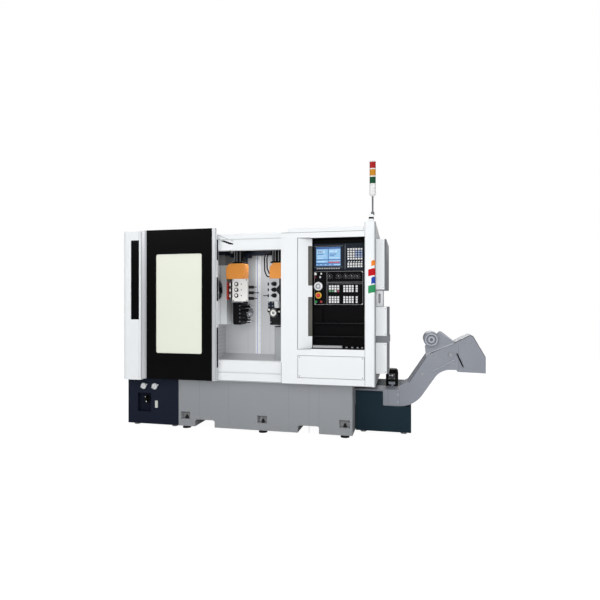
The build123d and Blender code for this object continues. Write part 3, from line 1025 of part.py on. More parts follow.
with BuildPart() as conveyor_casing:
    extrude(casing_outline(0, CONVEYOR_REAR), amount=CONVEYOR_WIDTH)
    extrude(casing_outline(CASING_SHEET, CONVEYOR_REAR - CASING_SHEET),
            amount=CONVEYOR_WIDTH - 2 * CASING_SHEET, mode=Mode.SUBTRACT)
    block(MOUTH_LEFT, BASE_RIGHT, CONVEYOR_FRONT + CASING_SHEET, CONVEYOR_REAR - CASING_SHEET,
          TROUGH_TOP - CASING_SHEET - 1, TROUGH_TOP + 1, Mode.SUBTRACT)
    block(HOOD_LEFT + 20, CHUTE_END - CASING_SHEET, CONVEYOR_FRONT + CASING_SHEET,
          CONVEYOR_REAR - CASING_SHEET, HOOD_BOTTOM - 2, HOOD_BOTTOM + 12, Mode.SUBTRACT)
    rod("Y", SHAFT_AT, CONVEYOR_FRONT - 1, CONVEYOR_REAR + 1, DRIVE_SHAFT_RADIUS + SPINDLE_CLEARANCE,
        Mode.SUBTRACT)
    for end_y in (CONVEYOR_FRONT - 5, CONVEYOR_REAR):
        side(end_y, end_y + 5, [
            (SHAFT_X - 144, 526), (SHAFT_X - 140, 519), (SHAFT_X + 36, 620), (SHAFT_X + 32, 627),
        ])
        side(end_y, end_y + 5, [
            (SHAFT_X + 41, 673), (SHAFT_X + 47, 676), (SHAFT_X + 100, 567), (SHAFT_X + 94, 564),
        ])
conveyor_casing.part.label = "conveyor_casing"
export_step(conveyor_casing.part, "parts/conveyor_casing.step")

# Hinged belt: steel slats with one knuckle each, laid end to end round the belt's closed path
BELT_WIDTH = CONVEYOR_WIDTH - 2 * CASING_SHEET - 10.0
BELT_RADIUS = BELT_PITCH / (2 * sin(pi / HEAD_SIDES))
BELT_BEND = 160.0
SLAT_THICKNESS = 3.0
KNUCKLE_DEPTH = 5.0
KNUCKLE_START = 9.0
SLAT_GAP = 0.5
WRAP_DEPTH = 75.0
BELT_Z = TROUGH_BOTTOM + TROUGH_HEIGHT / 2
TAIL_X = CONVEYOR_TAIL + BELT_RADIUS + 2.0
steep = tan(radians(INCLINE_ANGLE))
shallow = tan(radians(HEAD_ANGLE))
STEEP_X = INCLINE_FOOT_X - WRAP_DEPTH / sin(radians(INCLINE_ANGLE)) + (BELT_Z - TROUGH_BOTTOM) / steep
HEAD_X = (SHAFT_AT[1] - BELT_Z + STEEP_X * steep - SHAFT_AT[0] * shallow) / (steep - shallow)
HEAD_Z = BELT_Z + (HEAD_X - STEEP_X) * steep

with BuildLine(Plane.XZ) as belt_path:
    FilletPolyline((TAIL_X, BELT_Z), (STEEP_X, BELT_Z), (HEAD_X, HEAD_Z), SHAFT_AT, radius=BELT_BEND)
    offset(amount=BELT_RADIUS, side=Side.BOTH)
belt_loop = belt_path.wires().sort_by(SortBy.LENGTH)[-1]
slat_count = round(belt_loop.length / BELT_PITCH)
joints = [belt_loop @ (index / slat_count) for index in range(slat_count)]

slats = []
for index, joint in enumerate(joints):
    following = joints[(index + 1) % slat_count]
    along = following - joint
    half_slat = (along.length - SLAT_GAP) / 2
    with BuildSketch(Plane.XY) as slat_side:
        with BuildLine():
            Polyline(
                (-half_slat, 0), (-half_slat + 1.2, -SLAT_THICKNESS), (half_slat - 1.2, -SLAT_THICKNESS),
                (half_slat, 0), (half_slat - 2, KNUCKLE_DEPTH), (half_slat - KNUCKLE_START, KNUCKLE_DEPTH),
                (half_slat - KNUCKLE_START - 1, 0), close=True,
            )
        make_face()
    slat_plane = Plane(origin=(joint + following) * 0.5 + Vector(0, CONVEYOR_FRONT + CONVEYOR_WIDTH / 2, 0),
                       x_dir=along, z_dir=(0, 1, 0))
    slat = extrude(slat_side.sketch, amount=BELT_WIDTH / 2, both=True)
    slats.append(slat.moved(slat_plane.location))
conveyor_belt = Compound(children=slats)
conveyor_belt.label = "conveyor_belt"
export_step(conveyor_belt, "parts/conveyor_belt.step")
print("belt slats", slat_count)

# Drive shaft with two drums that carry the belt by its knuckles at the upper end
DRUM_GAP = 0.5
DRUM_WIDTH = 12.0
chord_half = BELT_RADIUS * sin(BELT_PITCH / (2 * BELT_RADIUS))
chord_depth = BELT_RADIUS * cos(BELT_PITCH / (2 * BELT_RADIUS))
drum_radius = hypot(chord_depth - KNUCKLE_DEPTH, chord_half - SLAT_GAP / 2 - KNUCKLE_START) - DRUM_GAP
with BuildPart() as drive_shaft:
    rod("Y", SHAFT_AT, CONVEYOR_FRONT - 12, CONVEYOR_REAR + 10, DRIVE_SHAFT_RADIUS)
    for drum_y in (CONVEYOR_FRONT + 40, CONVEYOR_REAR - 52):
        rod("Y", SHAFT_AT, drum_y, drum_y + DRUM_WIDTH, drum_radius)
        rod("Y", SHAFT_AT, drum_y - 8, drum_y + DRUM_WIDTH + 8, DRIVE_SHAFT_RADIUS + 8)
drive_shaft.part.label = "drive_shaft"
export_step(drive_shaft.part, "parts/drive_shaft.step")

# Conveyor drive: wing plate on the casing's front, gearbox and round motor above the belt
WING_FRONT = CONVEYOR_FRONT - 5.0
MOTOR_X = COLLAR_X + 249.0
MOTOR_AT = (MOTOR_X, 783.0)
DRIVE_RADIUS = 60.0
with BuildPart() as conveyor_drive:
    side(WING_FRONT - 5, WING_FRONT + 5, [
        (MOTOR_X - 44, 660), (MOTOR_X - 50, 730), (MOTOR_X + 60, 850), (MOTOR_X + 78, 848),
        (MOTOR_X + 182, 766), (MOTOR_X + 172, 752),
    ])
    rod("Y", MOTOR_AT, WING_FRONT - 30, CONVEYOR_REAR - 20, DRIVE_RADIUS)
    chamfer(conveyor_drive.edges().filter_by(GeomType.CIRCLE).sort_by(Axis.Y)[0], 8)
    rod("Y", MOTOR_AT, WING_FRONT - 34, WING_FRONT - 30, 30)
    side(CONVEYOR_FRONT + 20, CONVEYOR_REAR - 40, [
        (MOTOR_X - 5, 668), (MOTOR_X - 5, 740), (MOTOR_X + 60, 790), (MOTOR_X + 132, 790),
        (MOTOR_X + 132, 739),
    ])
conveyor_drive.part.label = "conveyor_drive"
export_step(conveyor_drive.part, "parts/conveyor_drive.step")

# Signal tower: bracket and pole on the column, then the stacked red, amber and green lamp
TOWER_AT = (NICHE_RIGHT + 56.0, FRONT + 80.0)
POLE_RADIUS = 6.5
POLE_TOP = 1912.0
LAMP_RADIUS = 26.0
LENS_RADIUS = 24.0
with BuildPart() as tower_pole:
    block(TOWER_AT[0] - 26, TOWER_AT[0] + 10, FRONT + 20, TOWER_AT[1] + 14, COLUMN_TOP, COLUMN_TOP + 60)
    chamfer(tower_pole.faces().sort_by(Axis.Z)[-1].edges(), 8)
    rod("Z", TOWER_AT, COLUMN_TOP + 40, POLE_TOP, POLE_RADIUS)
    rod("Z", TOWER_AT, COLUMN_TOP + 58, COLUMN_TOP + 84, POLE_RADIUS + 7)
tower_pole.part.label = "tower_pole"
export_step(tower_pole.part, "parts/tower_pole.step")

with BuildPart() as signal_lamp:
    with BuildSketch(Plane.XZ):
        with BuildLine():
            Polyline(
                (0, POLE_TOP), (12, POLE_TOP), (LAMP_RADIUS, POLE_TOP + 16), (LAMP_RADIUS, POLE_TOP + 97),
                (LENS_RADIUS, POLE_TOP + 99), (LENS_RADIUS, POLE_TOP + 148), (LAMP_RADIUS, POLE_TOP + 150),
                (LAMP_RADIUS, POLE_TOP + 158), (LENS_RADIUS, POLE_TOP + 160), (LENS_RADIUS, POLE_TOP + 206),
                (LAMP_RADIUS, POLE_TOP + 208), (LAMP_RADIUS, POLE_TOP + 216), (LENS_RADIUS, POLE_TOP + 218),
                (LENS_RADIUS, POLE_TOP + 265), (LAMP_RADIUS, POLE_TOP + 267), (LAMP_RADIUS - 2, POLE_TOP + 275),
                (LAMP_RADIUS - 8, POLE_TOP + 279), (0, POLE_TOP + 280), close=True,
            )
        make_face()
    revolve(axis=Axis.Z)
lamp_shape = signal_lamp.part
with BuildPart() as signal_lamp:
    with Locations((TOWER_AT[0], TOWER_AT[1], 0)):
        add(lamp_shape)
signal_lamp.part.label = "signal_lamp"
export_step(signal_lamp.part, "parts/signal_lamp.step")

# Electrical cabinet on the back, with two shallow door panels and their handles
REAR_CABINET_DEPTH = 152.0
REAR_CABINET_HALF = 560.0
REAR_CABINET_LOW = 640.0
REAR_CABINET_HIGH = 1600.0
with BuildPart() as rear_cabinet:
    block(-REAR_CABINET_HALF, REAR_CABINET_HALF, REAR, REAR + REAR_CABINET_DEPTH, REAR_CABINET_LOW,
          REAR_CABINET_HIGH)
    for panel_x in (-REAR_CABINET_HALF / 2, REAR_CABINET_HALF / 2):
        with BuildSketch(Plane.XZ.offset(-(REAR + REAR_CABINET_DEPTH))):
            with Locations((panel_x, (REAR_CABINET_LOW + REAR_CABINET_HIGH) / 2)):
                RectangleRounded(REAR_CABINET_HALF - 16, REAR_CABINET_HIGH - REAR_CABINET_LOW - 16, 8)
        extrude(amount=-5)
    for grip_x in (-34, 34):
        block(grip_x - 9, grip_x + 9, REAR + REAR_CABINET_DEPTH + 5, REAR + REAR_CABINET_DEPTH + 8, 1060, 1180)
rear_cabinet.part.label = "rear_cabinet"
export_step(rear_cabinet.part, "parts/rear_cabinet.step")
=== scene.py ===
import bpy
import bmesh
import math
from mathutils import Matrix, Vector


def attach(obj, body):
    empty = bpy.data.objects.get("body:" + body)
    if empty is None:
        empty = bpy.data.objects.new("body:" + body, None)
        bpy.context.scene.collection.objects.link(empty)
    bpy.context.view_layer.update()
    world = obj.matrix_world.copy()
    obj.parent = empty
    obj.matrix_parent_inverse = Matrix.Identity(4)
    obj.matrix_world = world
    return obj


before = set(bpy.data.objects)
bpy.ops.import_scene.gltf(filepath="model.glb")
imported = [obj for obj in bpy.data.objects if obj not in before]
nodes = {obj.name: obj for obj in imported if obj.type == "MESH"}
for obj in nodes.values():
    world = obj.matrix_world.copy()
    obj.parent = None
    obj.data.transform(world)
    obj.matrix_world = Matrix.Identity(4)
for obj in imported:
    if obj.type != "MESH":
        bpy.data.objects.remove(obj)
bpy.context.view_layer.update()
scene = bpy.context.scene
scene.view_settings.view_transform = "Standard"

# Camera. It stands in front of the machine at chest height and looks a little to the left, so that
# the right side of the enclosure shows as a thin strip.
camera_data = bpy.data.cameras.new("camera")
camera_data.lens = 28.8
camera_data.sensor_width = 36.0
camera = bpy.data.objects.new("camera", camera_data)
camera.location = (0.900, -4.498, 1.100)
camera.rotation_euler = (math.radians(90), 0, math.radians(12.57))
scene.collection.objects.link(camera)
scene.camera = camera

# Motor leads. Two black rubber-sheathed leads, power and encoder, loop from the motor's connector down to
# the belt casing. Both ends are held and both move with the right post, so they are no free cords.
PATCHES_PER_METRE = 3.5
GRAIN_DEPTH = 0.001
LEAST_FACING = 0.7


def colour(text):
    """sRGB hex to the linear colour that a shader takes."""
    values = [int(text[index:index + 2], 16) / 255 for index in (1, 3, 5)]
    return [v / 12.92 if v <= 0.04045 else ((v + 0.055) / 1.055) ** 2.4 for v in values] + [1.0]


def add_node(owner, kind, settings=None, **inputs):
    """Adds one node with its settings; an input is a plain value or the socket it is linked to."""
    node = owner.node_tree.nodes.new(kind)
    for name, value in (settings or {}).items():
        setattr(node, name, value)
    for name, value in inputs.items():
        key = int(name[1:]) if name[0] == "n" and name[1:].isdigit() else name.replace("_", " ")
        if isinstance(value, bpy.types.NodeSocket):
            owner.node_tree.links.new(value, node.inputs[key])
        else:
            node.inputs[key].default_value = value
    return node


def finish(name, tone, roughness, metallic=0.0, mottle=0.03, grain_mm=9.0, bump=0.04, specular=0.5):
    """One finish: a tone that drifts a little in broad patches, and a fine grain that lifts the surface."""
    material = bpy.data.materials.new(name)
    material.use_nodes = True
    material.node_tree.nodes.clear()
    place = add_node(material, "ShaderNodeTexCoord").outputs["Object"]
    patches = add_node(material, "ShaderNodeTexNoise", Vector=place, Scale=PATCHES_PER_METRE, Detail=3.0)
    base = colour(tone)
    low = [max(0.0, c * (1 - mottle)) for c in base[:3]] + [1.0]
    high = [min(1.0, c * (1 + mottle)) for c in base[:3]] + [1.0]
    drift = add_node(material, "ShaderNodeMix", {"data_type": "RGBA"}, n0=patches.outputs["Fac"], n6=low,
                     n7=high)
    grain = add_node(material, "ShaderNodeTexNoise", Vector=place, Scale=1000 / grain_mm, Detail=2.0)
    lifted = add_node(material, "ShaderNodeBump", Height=grain.outputs["Fac"], Strength=bump,
                      Distance=GRAIN_DEPTH)
    shader = add_node(material, "ShaderNodeBsdfPrincipled", Metallic=metallic, Roughness=roughness,
                      Specular_IOR_Level=specular, Base_Color=drift.outputs[2],
                      Normal=lifted.outputs["Normal"])
    add_node(material, "ShaderNodeOutputMaterial", Surface=shader.outputs["BSDF"])
    return material


def dress(name, material):
    """Gives a solid of the part its finish."""
    mesh = nodes[name].data
    mesh.materials.clear()
    mesh.materials.append(material)


def paint(name, material, low, high, facing=None):
    """A second finish on the faces of a solid whose middles lie between two corners, in millimetres.

    A direction keeps only the faces that look within about 45 degrees of it.
    """
    mesh = nodes[name].data
    mesh.materials.append(material)
    last = len(mesh.materials) - 1
    for face in mesh.polygons:
        middle = face.center * 1000
        inside = all(low[axis] <= middle[axis] <= high[axis] for axis in range(3))
        if inside and (facing is None or face.normal.dot(Vector(facing)) > LEAST_FACING):
            face.material_index = last


dress("motor_cables", finish("black_rubber_sheath", "#0D0D0E", 0.6, specular=0.3))

# Stage. A pale studio floor and a white surround; the floor keeps the machine's soft shadow, and both
# are brighter to the camera than to the machine, so that its whites don't burn out.
FLOOR_REACH = 30
floor_mesh = bpy.data.meshes.new("floor")
floor_mesh.from_pydata([(-FLOOR_REACH, -FLOOR_REACH, 0), (FLOOR_REACH, -FLOOR_REACH, 0),
                        (FLOOR_REACH, FLOOR_REACH, 0), (-FLOOR_REACH, FLOOR_REACH, 0)], [], [(0, 1, 2, 3)])
floor = bpy.data.objects.new("floor", floor_mesh)
scene.collection.objects.link(floor)
white_floor = bpy.data.materials.new("matt_white_floor")
white_floor.use_nodes = True
white_floor.node_tree.nodes.clear()
path = add_node(white_floor, "ShaderNodeLightPath")
seen = add_node(white_floor, "ShaderNodeMath", {"operation": "MULTIPLY"}, n0=path.outputs["Is Camera Ray"],
                n1=0.88)
matt = add_node(white_floor, "ShaderNodeBsdfDiffuse", Color=colour("#F4F4F4"))
glow = add_node(white_floor, "ShaderNodeEmission", Color=(1, 1, 1, 1), Strength=1.10)
joined = add_node(white_floor, "ShaderNodeMixShader", n0=seen.outputs[0], n1=matt.outputs[0],
                  n2=glow.outputs[0])
add_node(white_floor, "ShaderNodeOutputMaterial", Surface=joined.outputs[0])
floor_mesh.materials.append(white_floor)

world = bpy.data.worlds.new("studio")
scene.world = world
world.use_nodes = True
world.node_tree.nodes.clear()
path = add_node(world, "ShaderNodeLightPath")
seen = add_node(world, "ShaderNodeMath", {"operation": "MAXIMUM"}, n0=path.outputs["Is Camera Ray"],
                n1=path.outputs["Is Transmission Ray"])
shown = add_node(world, "ShaderNodeBackground", Color=(1, 1, 1, 1), Strength=1.0)
lit = add_node(world, "ShaderNodeBackground", Color=colour("#F8F8F8"), Strength=0.38)
joined = add_node(world, "ShaderNodeMixShader", n0=seen.outputs[0], n1=lit.outputs[0], n2=shown.outputs[0])
add_node(world, "ShaderNodeOutputWorld", Surface=joined.outputs[0])

# Lamps. Each row gives a lamp's place, the point it is aimed at, its width in metres and its watts.
for lamp_name, place, aim, width, power in (
    ("lamp_left", (-3.8, -5.4, 4.0), (-0.4, -0.6, 0.9), 3.0, 96),
    ("lamp_right", (4.6, -4.2, 3.4), (0.4, -0.4, 0.9), 3.0, 60),
    ("lamp_top", (0.0, -0.6, 5.2), (0.0, -0.3, 0.0), 3.6, 60),
    ("lamp_front", (0.6, -5.2, 1.7), (-0.3, 0.0, 1.0), 1.2, 60),
    ("lamp_inside_top", (-0.40, -0.17, 1.54), (-0.40, 0.06, 0.90), 0.30, 1.5),
    ("lamp_inside_low", (-0.42, -0.60, 0.66), (-0.42, 0.10, 1.10), 0.40, 2.3),
    ("lamp_back", (1.0, 5.5, 3.6), (0.0, 0.4, 0.9), 3.0, 100),
):
    lamp_data = bpy.data.lights.new(lamp_name, "AREA")
    lamp_data.size = width
    lamp_data.energy = power
    lamp = bpy.data.objects.new(lamp_name, lamp_data)
    lamp.location = place
    lamp.visible_camera = False
    lamp.rotation_euler = (Vector(aim) - Vector(place)).to_track_quat("-Z", "Y").to_euler()
    scene.collection.objects.link(lamp)

# Base casting. Grey iron with a satin enamel over the sand-cast skin; its inner walls show as faint
# upright lines on the front, and the foot pockets are left in a paler primer.
ROD_SIDES = 32


def shape(name, material, body, boxes=(), rods=(), prisms=(), bevel=0.0):
    """Boxes, turned rods and flat outlines, in millimetres, as one piece that moves with a body."""
    grown = bmesh.new()
    for low, high in boxes:
        for corner in bmesh.ops.create_cube(grown, size=1.0)["verts"]:
            corner.co = Vector([(low[a] + high[a]) / 2 + corner.co[a] * (high[a] - low[a]) for a in range(3)])
    for axis, at, start, end, radius in rods:
        made = bmesh.ops.create_cone(grown, cap_ends=True, segments=ROD_SIDES, radius1=radius,
                                     radius2=radius, depth=end - start)["verts"]
        turn = {"X": Matrix.Rotation(math.pi / 2, 3, "Y"), "Y": Matrix.Rotation(math.pi / 2, 3, "X"),
                "Z": Matrix.Identity(3)}[axis]
        middle = {"X": ((start + end) / 2, *at), "Y": (at[0], (start + end) / 2, at[1]),
                  "Z": (*at, (start + end) / 2)}[axis]
        for corner in made:
            corner.co = turn @ corner.co + Vector(middle)
    for outline, front, back in prisms:
        face = grown.faces.new([grown.verts.new((x, front, z)) for x, z in outline])
        pushed = bmesh.ops.extrude_face_region(grown, geom=[face])["geom"]
        for corner in [item for item in pushed if isinstance(item, bmesh.types.BMVert)]:
            corner.co.y = back
    bmesh.ops.recalc_face_normals(grown, faces=grown.faces)
    mesh = bpy.data.meshes.new(name)
    grown.to_mesh(mesh)
    grown.free()
    mesh.transform(Matrix.Scale(0.001, 4))
    mesh.materials.append(material)
    piece = bpy.data.objects.new(name, mesh)
    scene.collection.objects.link(piece)
    if bevel:
        rounding = piece.modifiers.new("rounded", "BEVEL")
        rounding.width = bevel / 1000
        rounding.segments = 2
    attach(piece, body)


def plates_on(face, rise, outlines):
    """Boxes for thin plates on a face that looks to the front: each is left, low, right and high."""
    return [((left, face - rise, low), (right, face, high)) for left, low, right, high in outlines]


BASE_FACE = -690.0
FOOT_XS = (-958, -272, 414)
WALL_LINES = ((-827, 84), (-566, 24), (-43, 24), (126, 24), (208, 24))
dress("base_casting", finish("grey_satin_enamel", "#8F9296", 0.42, mottle=0.05, grain_mm=14, bump=0.10))
paint("base_casting", finish("pale_primer", "#B4B6B8", 0.5), (-1100, -689, 77), (500, -619, 141))
shape("pocket_edges", finish("shaded_pocket_edge", "#2E3034", 0.6, specular=0.1), "machine",
      boxes=plates_on(BASE_FACE, 0.4, [line for x in FOOT_XS for line in (
          (x - 42, 138, x + 42, 141), (x + 40, 80, x + 42, 141))]))
shape("rib_lines", finish("shaded_grey_enamel", "#7F8286", 0.5), "machine",
      boxes=plates_on(BASE_FACE, 0.3, [(x - 1.2, low, x + 1.2, 424) for x, low in WALL_LINES]))

# Levelling feet. Turned steel pads with a stud and a lock nut, blackened against rust; they carry the
# machine's weight and set it level.
BLACK_OXIDE = finish("black_oxide_steel", "#19191A", 0.45, metallic=0.3)
dress("levelling_feet", BLACK_OXIDE)

# Left cabinet. Folded sheet steel, navy powder coat, with two pressure gauges in bright bezels, an oil
# sight and the mains switch in a pocket. Louvres on its end let the oil cooler's air out.
SCREW_SIDES = 16
SOCKET_SHARE = 0.5
SOCKET_RISE = 1.06


def piece_tree(name, kind):
    """A tree that sets one small piece at every point: a cap screw with its hex socket, or a plain block."""
    tree = bpy.data.node_groups.new(name, "GeometryNodeTree")
    put = tree.interface.new_socket
    put("Points", in_out="INPUT", socket_type="NodeSocketGeometry")
    put("Size", in_out="INPUT", socket_type="NodeSocketVector")
    put("Turn", in_out="INPUT", socket_type="NodeSocketVector")
    put("Finish", in_out="INPUT", socket_type="NodeSocketMaterial")
    put("Socket", in_out="INPUT", socket_type="NodeSocketMaterial")
    put("Mesh", in_out="OUTPUT", socket_type="NodeSocketGeometry")

    class Owner:
        node_tree = tree

    given = add_node(Owner, "NodeGroupInput")
    size = add_node(Owner, "ShaderNodeSeparateXYZ", Vector=given.outputs["Size"])
    if kind == "screw":
        head = add_node(Owner, "GeometryNodeMeshCylinder", Vertices=SCREW_SIDES, Radius=size.outputs["X"],
                        Depth=size.outputs["Z"])
        half = add_node(Owner, "ShaderNodeMath", {"operation": "MULTIPLY"}, n0=size.outputs["X"],
                        n1=SOCKET_SHARE)
        raised = add_node(Owner, "ShaderNodeMath", {"operation": "MULTIPLY"}, n0=size.outputs["Z"],
                          n1=SOCKET_RISE)
        hexagon = add_node(Owner, "GeometryNodeMeshCylinder", Vertices=6, Radius=half.outputs[0],
                           Depth=raised.outputs[0])
        dark = add_node(Owner, "GeometryNodeSetMaterial", Geometry=hexagon.outputs["Mesh"],
                        Material=given.outputs["Socket"])
        body = add_node(Owner, "GeometryNodeSetMaterial", Geometry=head.outputs["Mesh"],
                        Material=given.outputs["Finish"])
        whole = add_node(Owner, "GeometryNodeJoinGeometry")
        for part in (dark, body):
            tree.links.new(part.outputs[0], whole.inputs[0])
    else:
        cube = add_node(Owner, "GeometryNodeMeshCube", Size=given.outputs["Size"])
        whole = add_node(Owner, "GeometryNodeSetMaterial", Geometry=cube.outputs["Mesh"],
                         Material=given.outputs["Finish"])
    turn = add_node(Owner, "FunctionNodeEulerToRotation", Euler=given.outputs["Turn"])
    placed = add_node(Owner, "GeometryNodeInstanceOnPoints", Points=given.outputs["Points"],
                      Instance=whole.outputs[0], Rotation=turn.outputs[0])
    real = add_node(Owner, "GeometryNodeRealizeInstances", Geometry=placed.outputs[0])
    result = add_node(Owner, "NodeGroupOutput")
    tree.links.new(real.outputs[0], result.inputs["Mesh"])
    return tree


def set_out(name, tree, places, size, turn, finishes, body):
    """Runs the tree over places in millimetres and keeps the result as one plain mesh on a body."""
    seeds = bpy.data.meshes.new(name + "_places")
    seeds.from_pydata([[c / 1000 for c in place] for place in places], [], [])
    holder = bpy.data.objects.new(name + "_places", seeds)
    scene.collection.objects.link(holder)
    run = holder.modifiers.new("set_out", "NODES")
    run.node_group = tree
    values = {"Size": [c / 1000 for c in size], "Turn": [math.radians(c) for c in turn],
              "Finish": finishes[0], "Socket": finishes[-1]}
    for socket in tree.interface.items_tree:
        if socket.in_out == "INPUT" and socket.name in values:
            run[socket.identifier] = values[socket.name]
    bpy.context.view_layer.update()
    view = bpy.context.evaluated_depsgraph_get()
    made = bpy.data.objects.new(name, bpy.data.meshes.new_from_object(holder.evaluated_get(view)))
    scene.collection.objects.link(made)
    bpy.data.objects.remove(holder)
    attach(made, body)


SCREW_TREE = piece_tree("cap_screws", "screw")
BLOCK_TREE = piece_tree("blocks", "block")
UPRIGHT = (0, 0, 0)
FACING_FRONT = (90, 0, 0)
FACING_SIDE = (0, 90, 0)
NAVY_COAT = finish("navy_powder_coat", "#191F2E", 0.5, mottle=0.06, bump=0.08, specular=0.08)
ZINC_STEEL = finish("zinc_plated_steel", "#B9BCC0", 0.30, metallic=1.0)
LINE_BLACK = finish("black_gap", "#060607", 0.7, specular=0.1)


def cap_screws(name, places, radius, height, body="machine", turn=FACING_FRONT, head=ZINC_STEEL):
    """Cap screws with black sockets; the radius and the height are the head's."""
    set_out(name, SCREW_TREE, places, (radius, 0, height), turn, (head, LINE_BLACK), body)


def small_blocks(name, places, size, material, body="machine"):
    """Plain upright blocks of one size, such as louvres, scale marks and fins."""
    set_out(name, BLOCK_TREE, places, size, UPRIGHT, (material,), body)


def profiles_on(face, rise, outlines):
    """Prisms for thin plates with a cut outline on a face that looks to the front."""
    return [(outline, face - rise, face) for outline in outlines]


LEFT_END = -1506.0
GAUGES = ((-1347.0, 350.0), (-1242.0, 350.0))
SWITCH_X, SWITCH_Z = -1326, 234
dress("left_cabinet", NAVY_COAT)
paint("left_cabinet", ZINC_STEEL, (-1400, -720, 300), (-1200, -690.5, 400))
paint("left_cabinet", finish("sight_glass_acrylic", "#C9CDC6", 0.2), (-1245, -720, 150), (-1205, -690.5, 240))
# Inside the mains switch pocket the navy coat is painted darker, as painted shade in the recess.
paint("left_cabinet", finish("navy_pocket_painted_shade", "#141925", 0.6, specular=0.05), (-1408, -690, 126),
      (-1282, -660, 288))
shape("gauge_dials", finish("gauge_dial_enamel", "#D9DADB", 0.35), "machine",
      rods=[("Y", (x, z), -704.3, -704.0, 21) for x, z in GAUGES])
shape("gauge_needles", LINE_BLACK, "machine",
      prisms=profiles_on(-704.4, 0.4, [[(x - 9, z - 10), (x - 7, z - 12), (x + 12, z + 12)]
                                       for x, z in GAUGES]))
cap_screws("gauge_ears", [(x + side * 31, -697.5, z + side * 12) for x, z in GAUGES for side in (-1, 1)],
           3.4, 3)
paint("left_cabinet", ZINC_STEEL, (-1510, -700, -1), (-1020, 630, 19.8))
dress("mains_switch", finish("black_switch_housing", "#070708", 0.4, specular=0.1))
shape("switch_marks", finish("switch_white_dot", "#D5D5D3", 0.4), "mains_switch",
      rods=[("Y", (SWITCH_X - 6, SWITCH_Z + 22), -699.4, -699.0, 4),
            ("Y", (SWITCH_X + 4, SWITCH_Z - 20), -699.4, -699.0, 5)])
small_blocks("cabinet_louvres", [(LEFT_END, -250 + 34 * k, z) for k in range(12) for z in (150, 250)],
             (1, 14, 70), LINE_BLACK)


# Bed, headstock and chucks. Cast iron in navy enamel; the headstock and the guard beside the chuck are
# white; the chuck bodies are blackened steel with a ground face and a bright collet ring.
def ring(across, up, radius, angles):
    """Places round a circle in millimetres; an angle of zero is at its right and ninety at its top."""
    return [(across + radius * math.cos(math.radians(angle)), up + radius * math.sin(math.radians(angle)))
            for angle in angles]


WHITE_COAT = finish("white_powder_coat", "#EAEDEF", 0.42, mottle=0.012, bump=0.05, specular=0.25)
LIGHT_GREY = finish("light_grey_powder_coat", "#C6C8CB", 0.42, mottle=0.03)
GROUND_STEEL = finish("ground_tool_steel", "#A4A7AB", 0.28, metallic=1.0, mottle=0.05)
BLACKENED = finish("blackened_chuck_steel", "#1C1E24", 0.38, metallic=0.4, mottle=0.08)
SPINDLE_Y, SPINDLE_Z = -300, 1192
BEAM_LOW, BEAM_HIGH = 1556, 1634
dress("machine_bed", NAVY_COAT)
paint("machine_bed", LIGHT_GREY, (-901, -421, 428), (-870, 101, 870), (1, 0, 0))
# White liner plates on the beam's front and on the back wall; their white is set brighter than the enclosure
# coat as painted light, since they sit in shade.
shape("bed_liners", finish("bed_liner_painted_light", "#F4F5F6", 0.5), "machine",
      boxes=[((-780, -71, BEAM_LOW), (-660, -70.4, BEAM_HIGH)), ((-1200, 98, 1432), (-899.4, 99.9, 1559))])
# A black band painted across the beam's front is painted shade, for the shadow under the roof fascia.
shape("painted_beam_shade", LINE_BLACK, "machine",
      boxes=[((-659, -71, BEAM_LOW), (-30, -70.4, BEAM_HIGH))])
shape("way_cover_seams", finish("shaded_grey_seam", "#8D9095", 0.5), "machine",
      boxes=[((-899, -418, z), (-898.4, 92, z + 2)) for z in range(500, 860, 36)])
dress("headstock", WHITE_COAT)
paint("headstock", GROUND_STEEL, (-898, -420, 1070), (-880, -185, 1310), (1, 0, 0))
shape("guard_seam", LINE_BLACK, "machine",
      boxes=plates_on(-190, 0.4, [(-838, 870, -836.5, 1428)]))
dress("sub_headstock", WHITE_COAT)
dress("main_spindle", BLACKENED)
paint("main_spindle", GROUND_STEEL, (-821, -400, 1090), (-780, -200, 1294), (1, 0, 0))
paint("main_spindle", GROUND_STEEL, (-804, -345, 1145), (-780, -255, 1240))
cap_screws("chuck_screws", [(-804, y, z) for y, z in ring(SPINDLE_Y, SPINDLE_Z, 66, range(0, 360, 60))], 5, 4,
           "main_spindle", turn=FACING_SIDE, head=BLACK_OXIDE)
dress("sub_spindle", BLACKENED)
paint("sub_spindle", GROUND_STEEL, (59, -390, 1100), (74, -210, 1284), (-1, 0, 0))

# Work area wall. Sheet steel in light grey: a white pilaster with a row of screws and a painted bluish
# highlight along its edge, upright sheet joints, and the grey guard with its black wiper edge.
WALL_FACE = 95.0
PILASTER_FACE = 89.0
WALL_LOW, WALL_HIGH = 566, 1556
dress("work_area_wall", LIGHT_GREY)
paint("work_area_wall", WHITE_COAT, (-578, 88, 560), (-525, 96, 1562))
# A thin bluish line on the pilaster's edge is a painted highlight, where its corner catches the light.
shape("pilaster_highlight", finish("painted_blue_highlight", "#6A74C8", 0.5), "machine",
      boxes=plates_on(PILASTER_FACE, 0.4, [(-562, WALL_LOW, -557, WALL_HIGH)]))
cap_screws("pilaster_screws", [(-536, PILASTER_FACE - 1, z) for z in range(610, 1550, 78)], 3.2, 2)
shape("wall_joints", finish("shaded_grey_joint", "#9A9DA2", 0.5), "machine",
      boxes=plates_on(WALL_FACE, 0.4, [(x, WALL_LOW, x + 2, WALL_HIGH) for x in (-660, -430, -180)]))
paint("work_area_wall", finish("guard_grey", "#8C8F93", 0.4), (-346, -34, 400), (-20, 96, 852), (0, -1, 0))
shape("guard_wiper", LINE_BLACK, "machine",
      boxes=[((-345.4, -33, 520), (-345, 94, 850)), ((-344, -32.6, 840), (-22, -32, 850))])

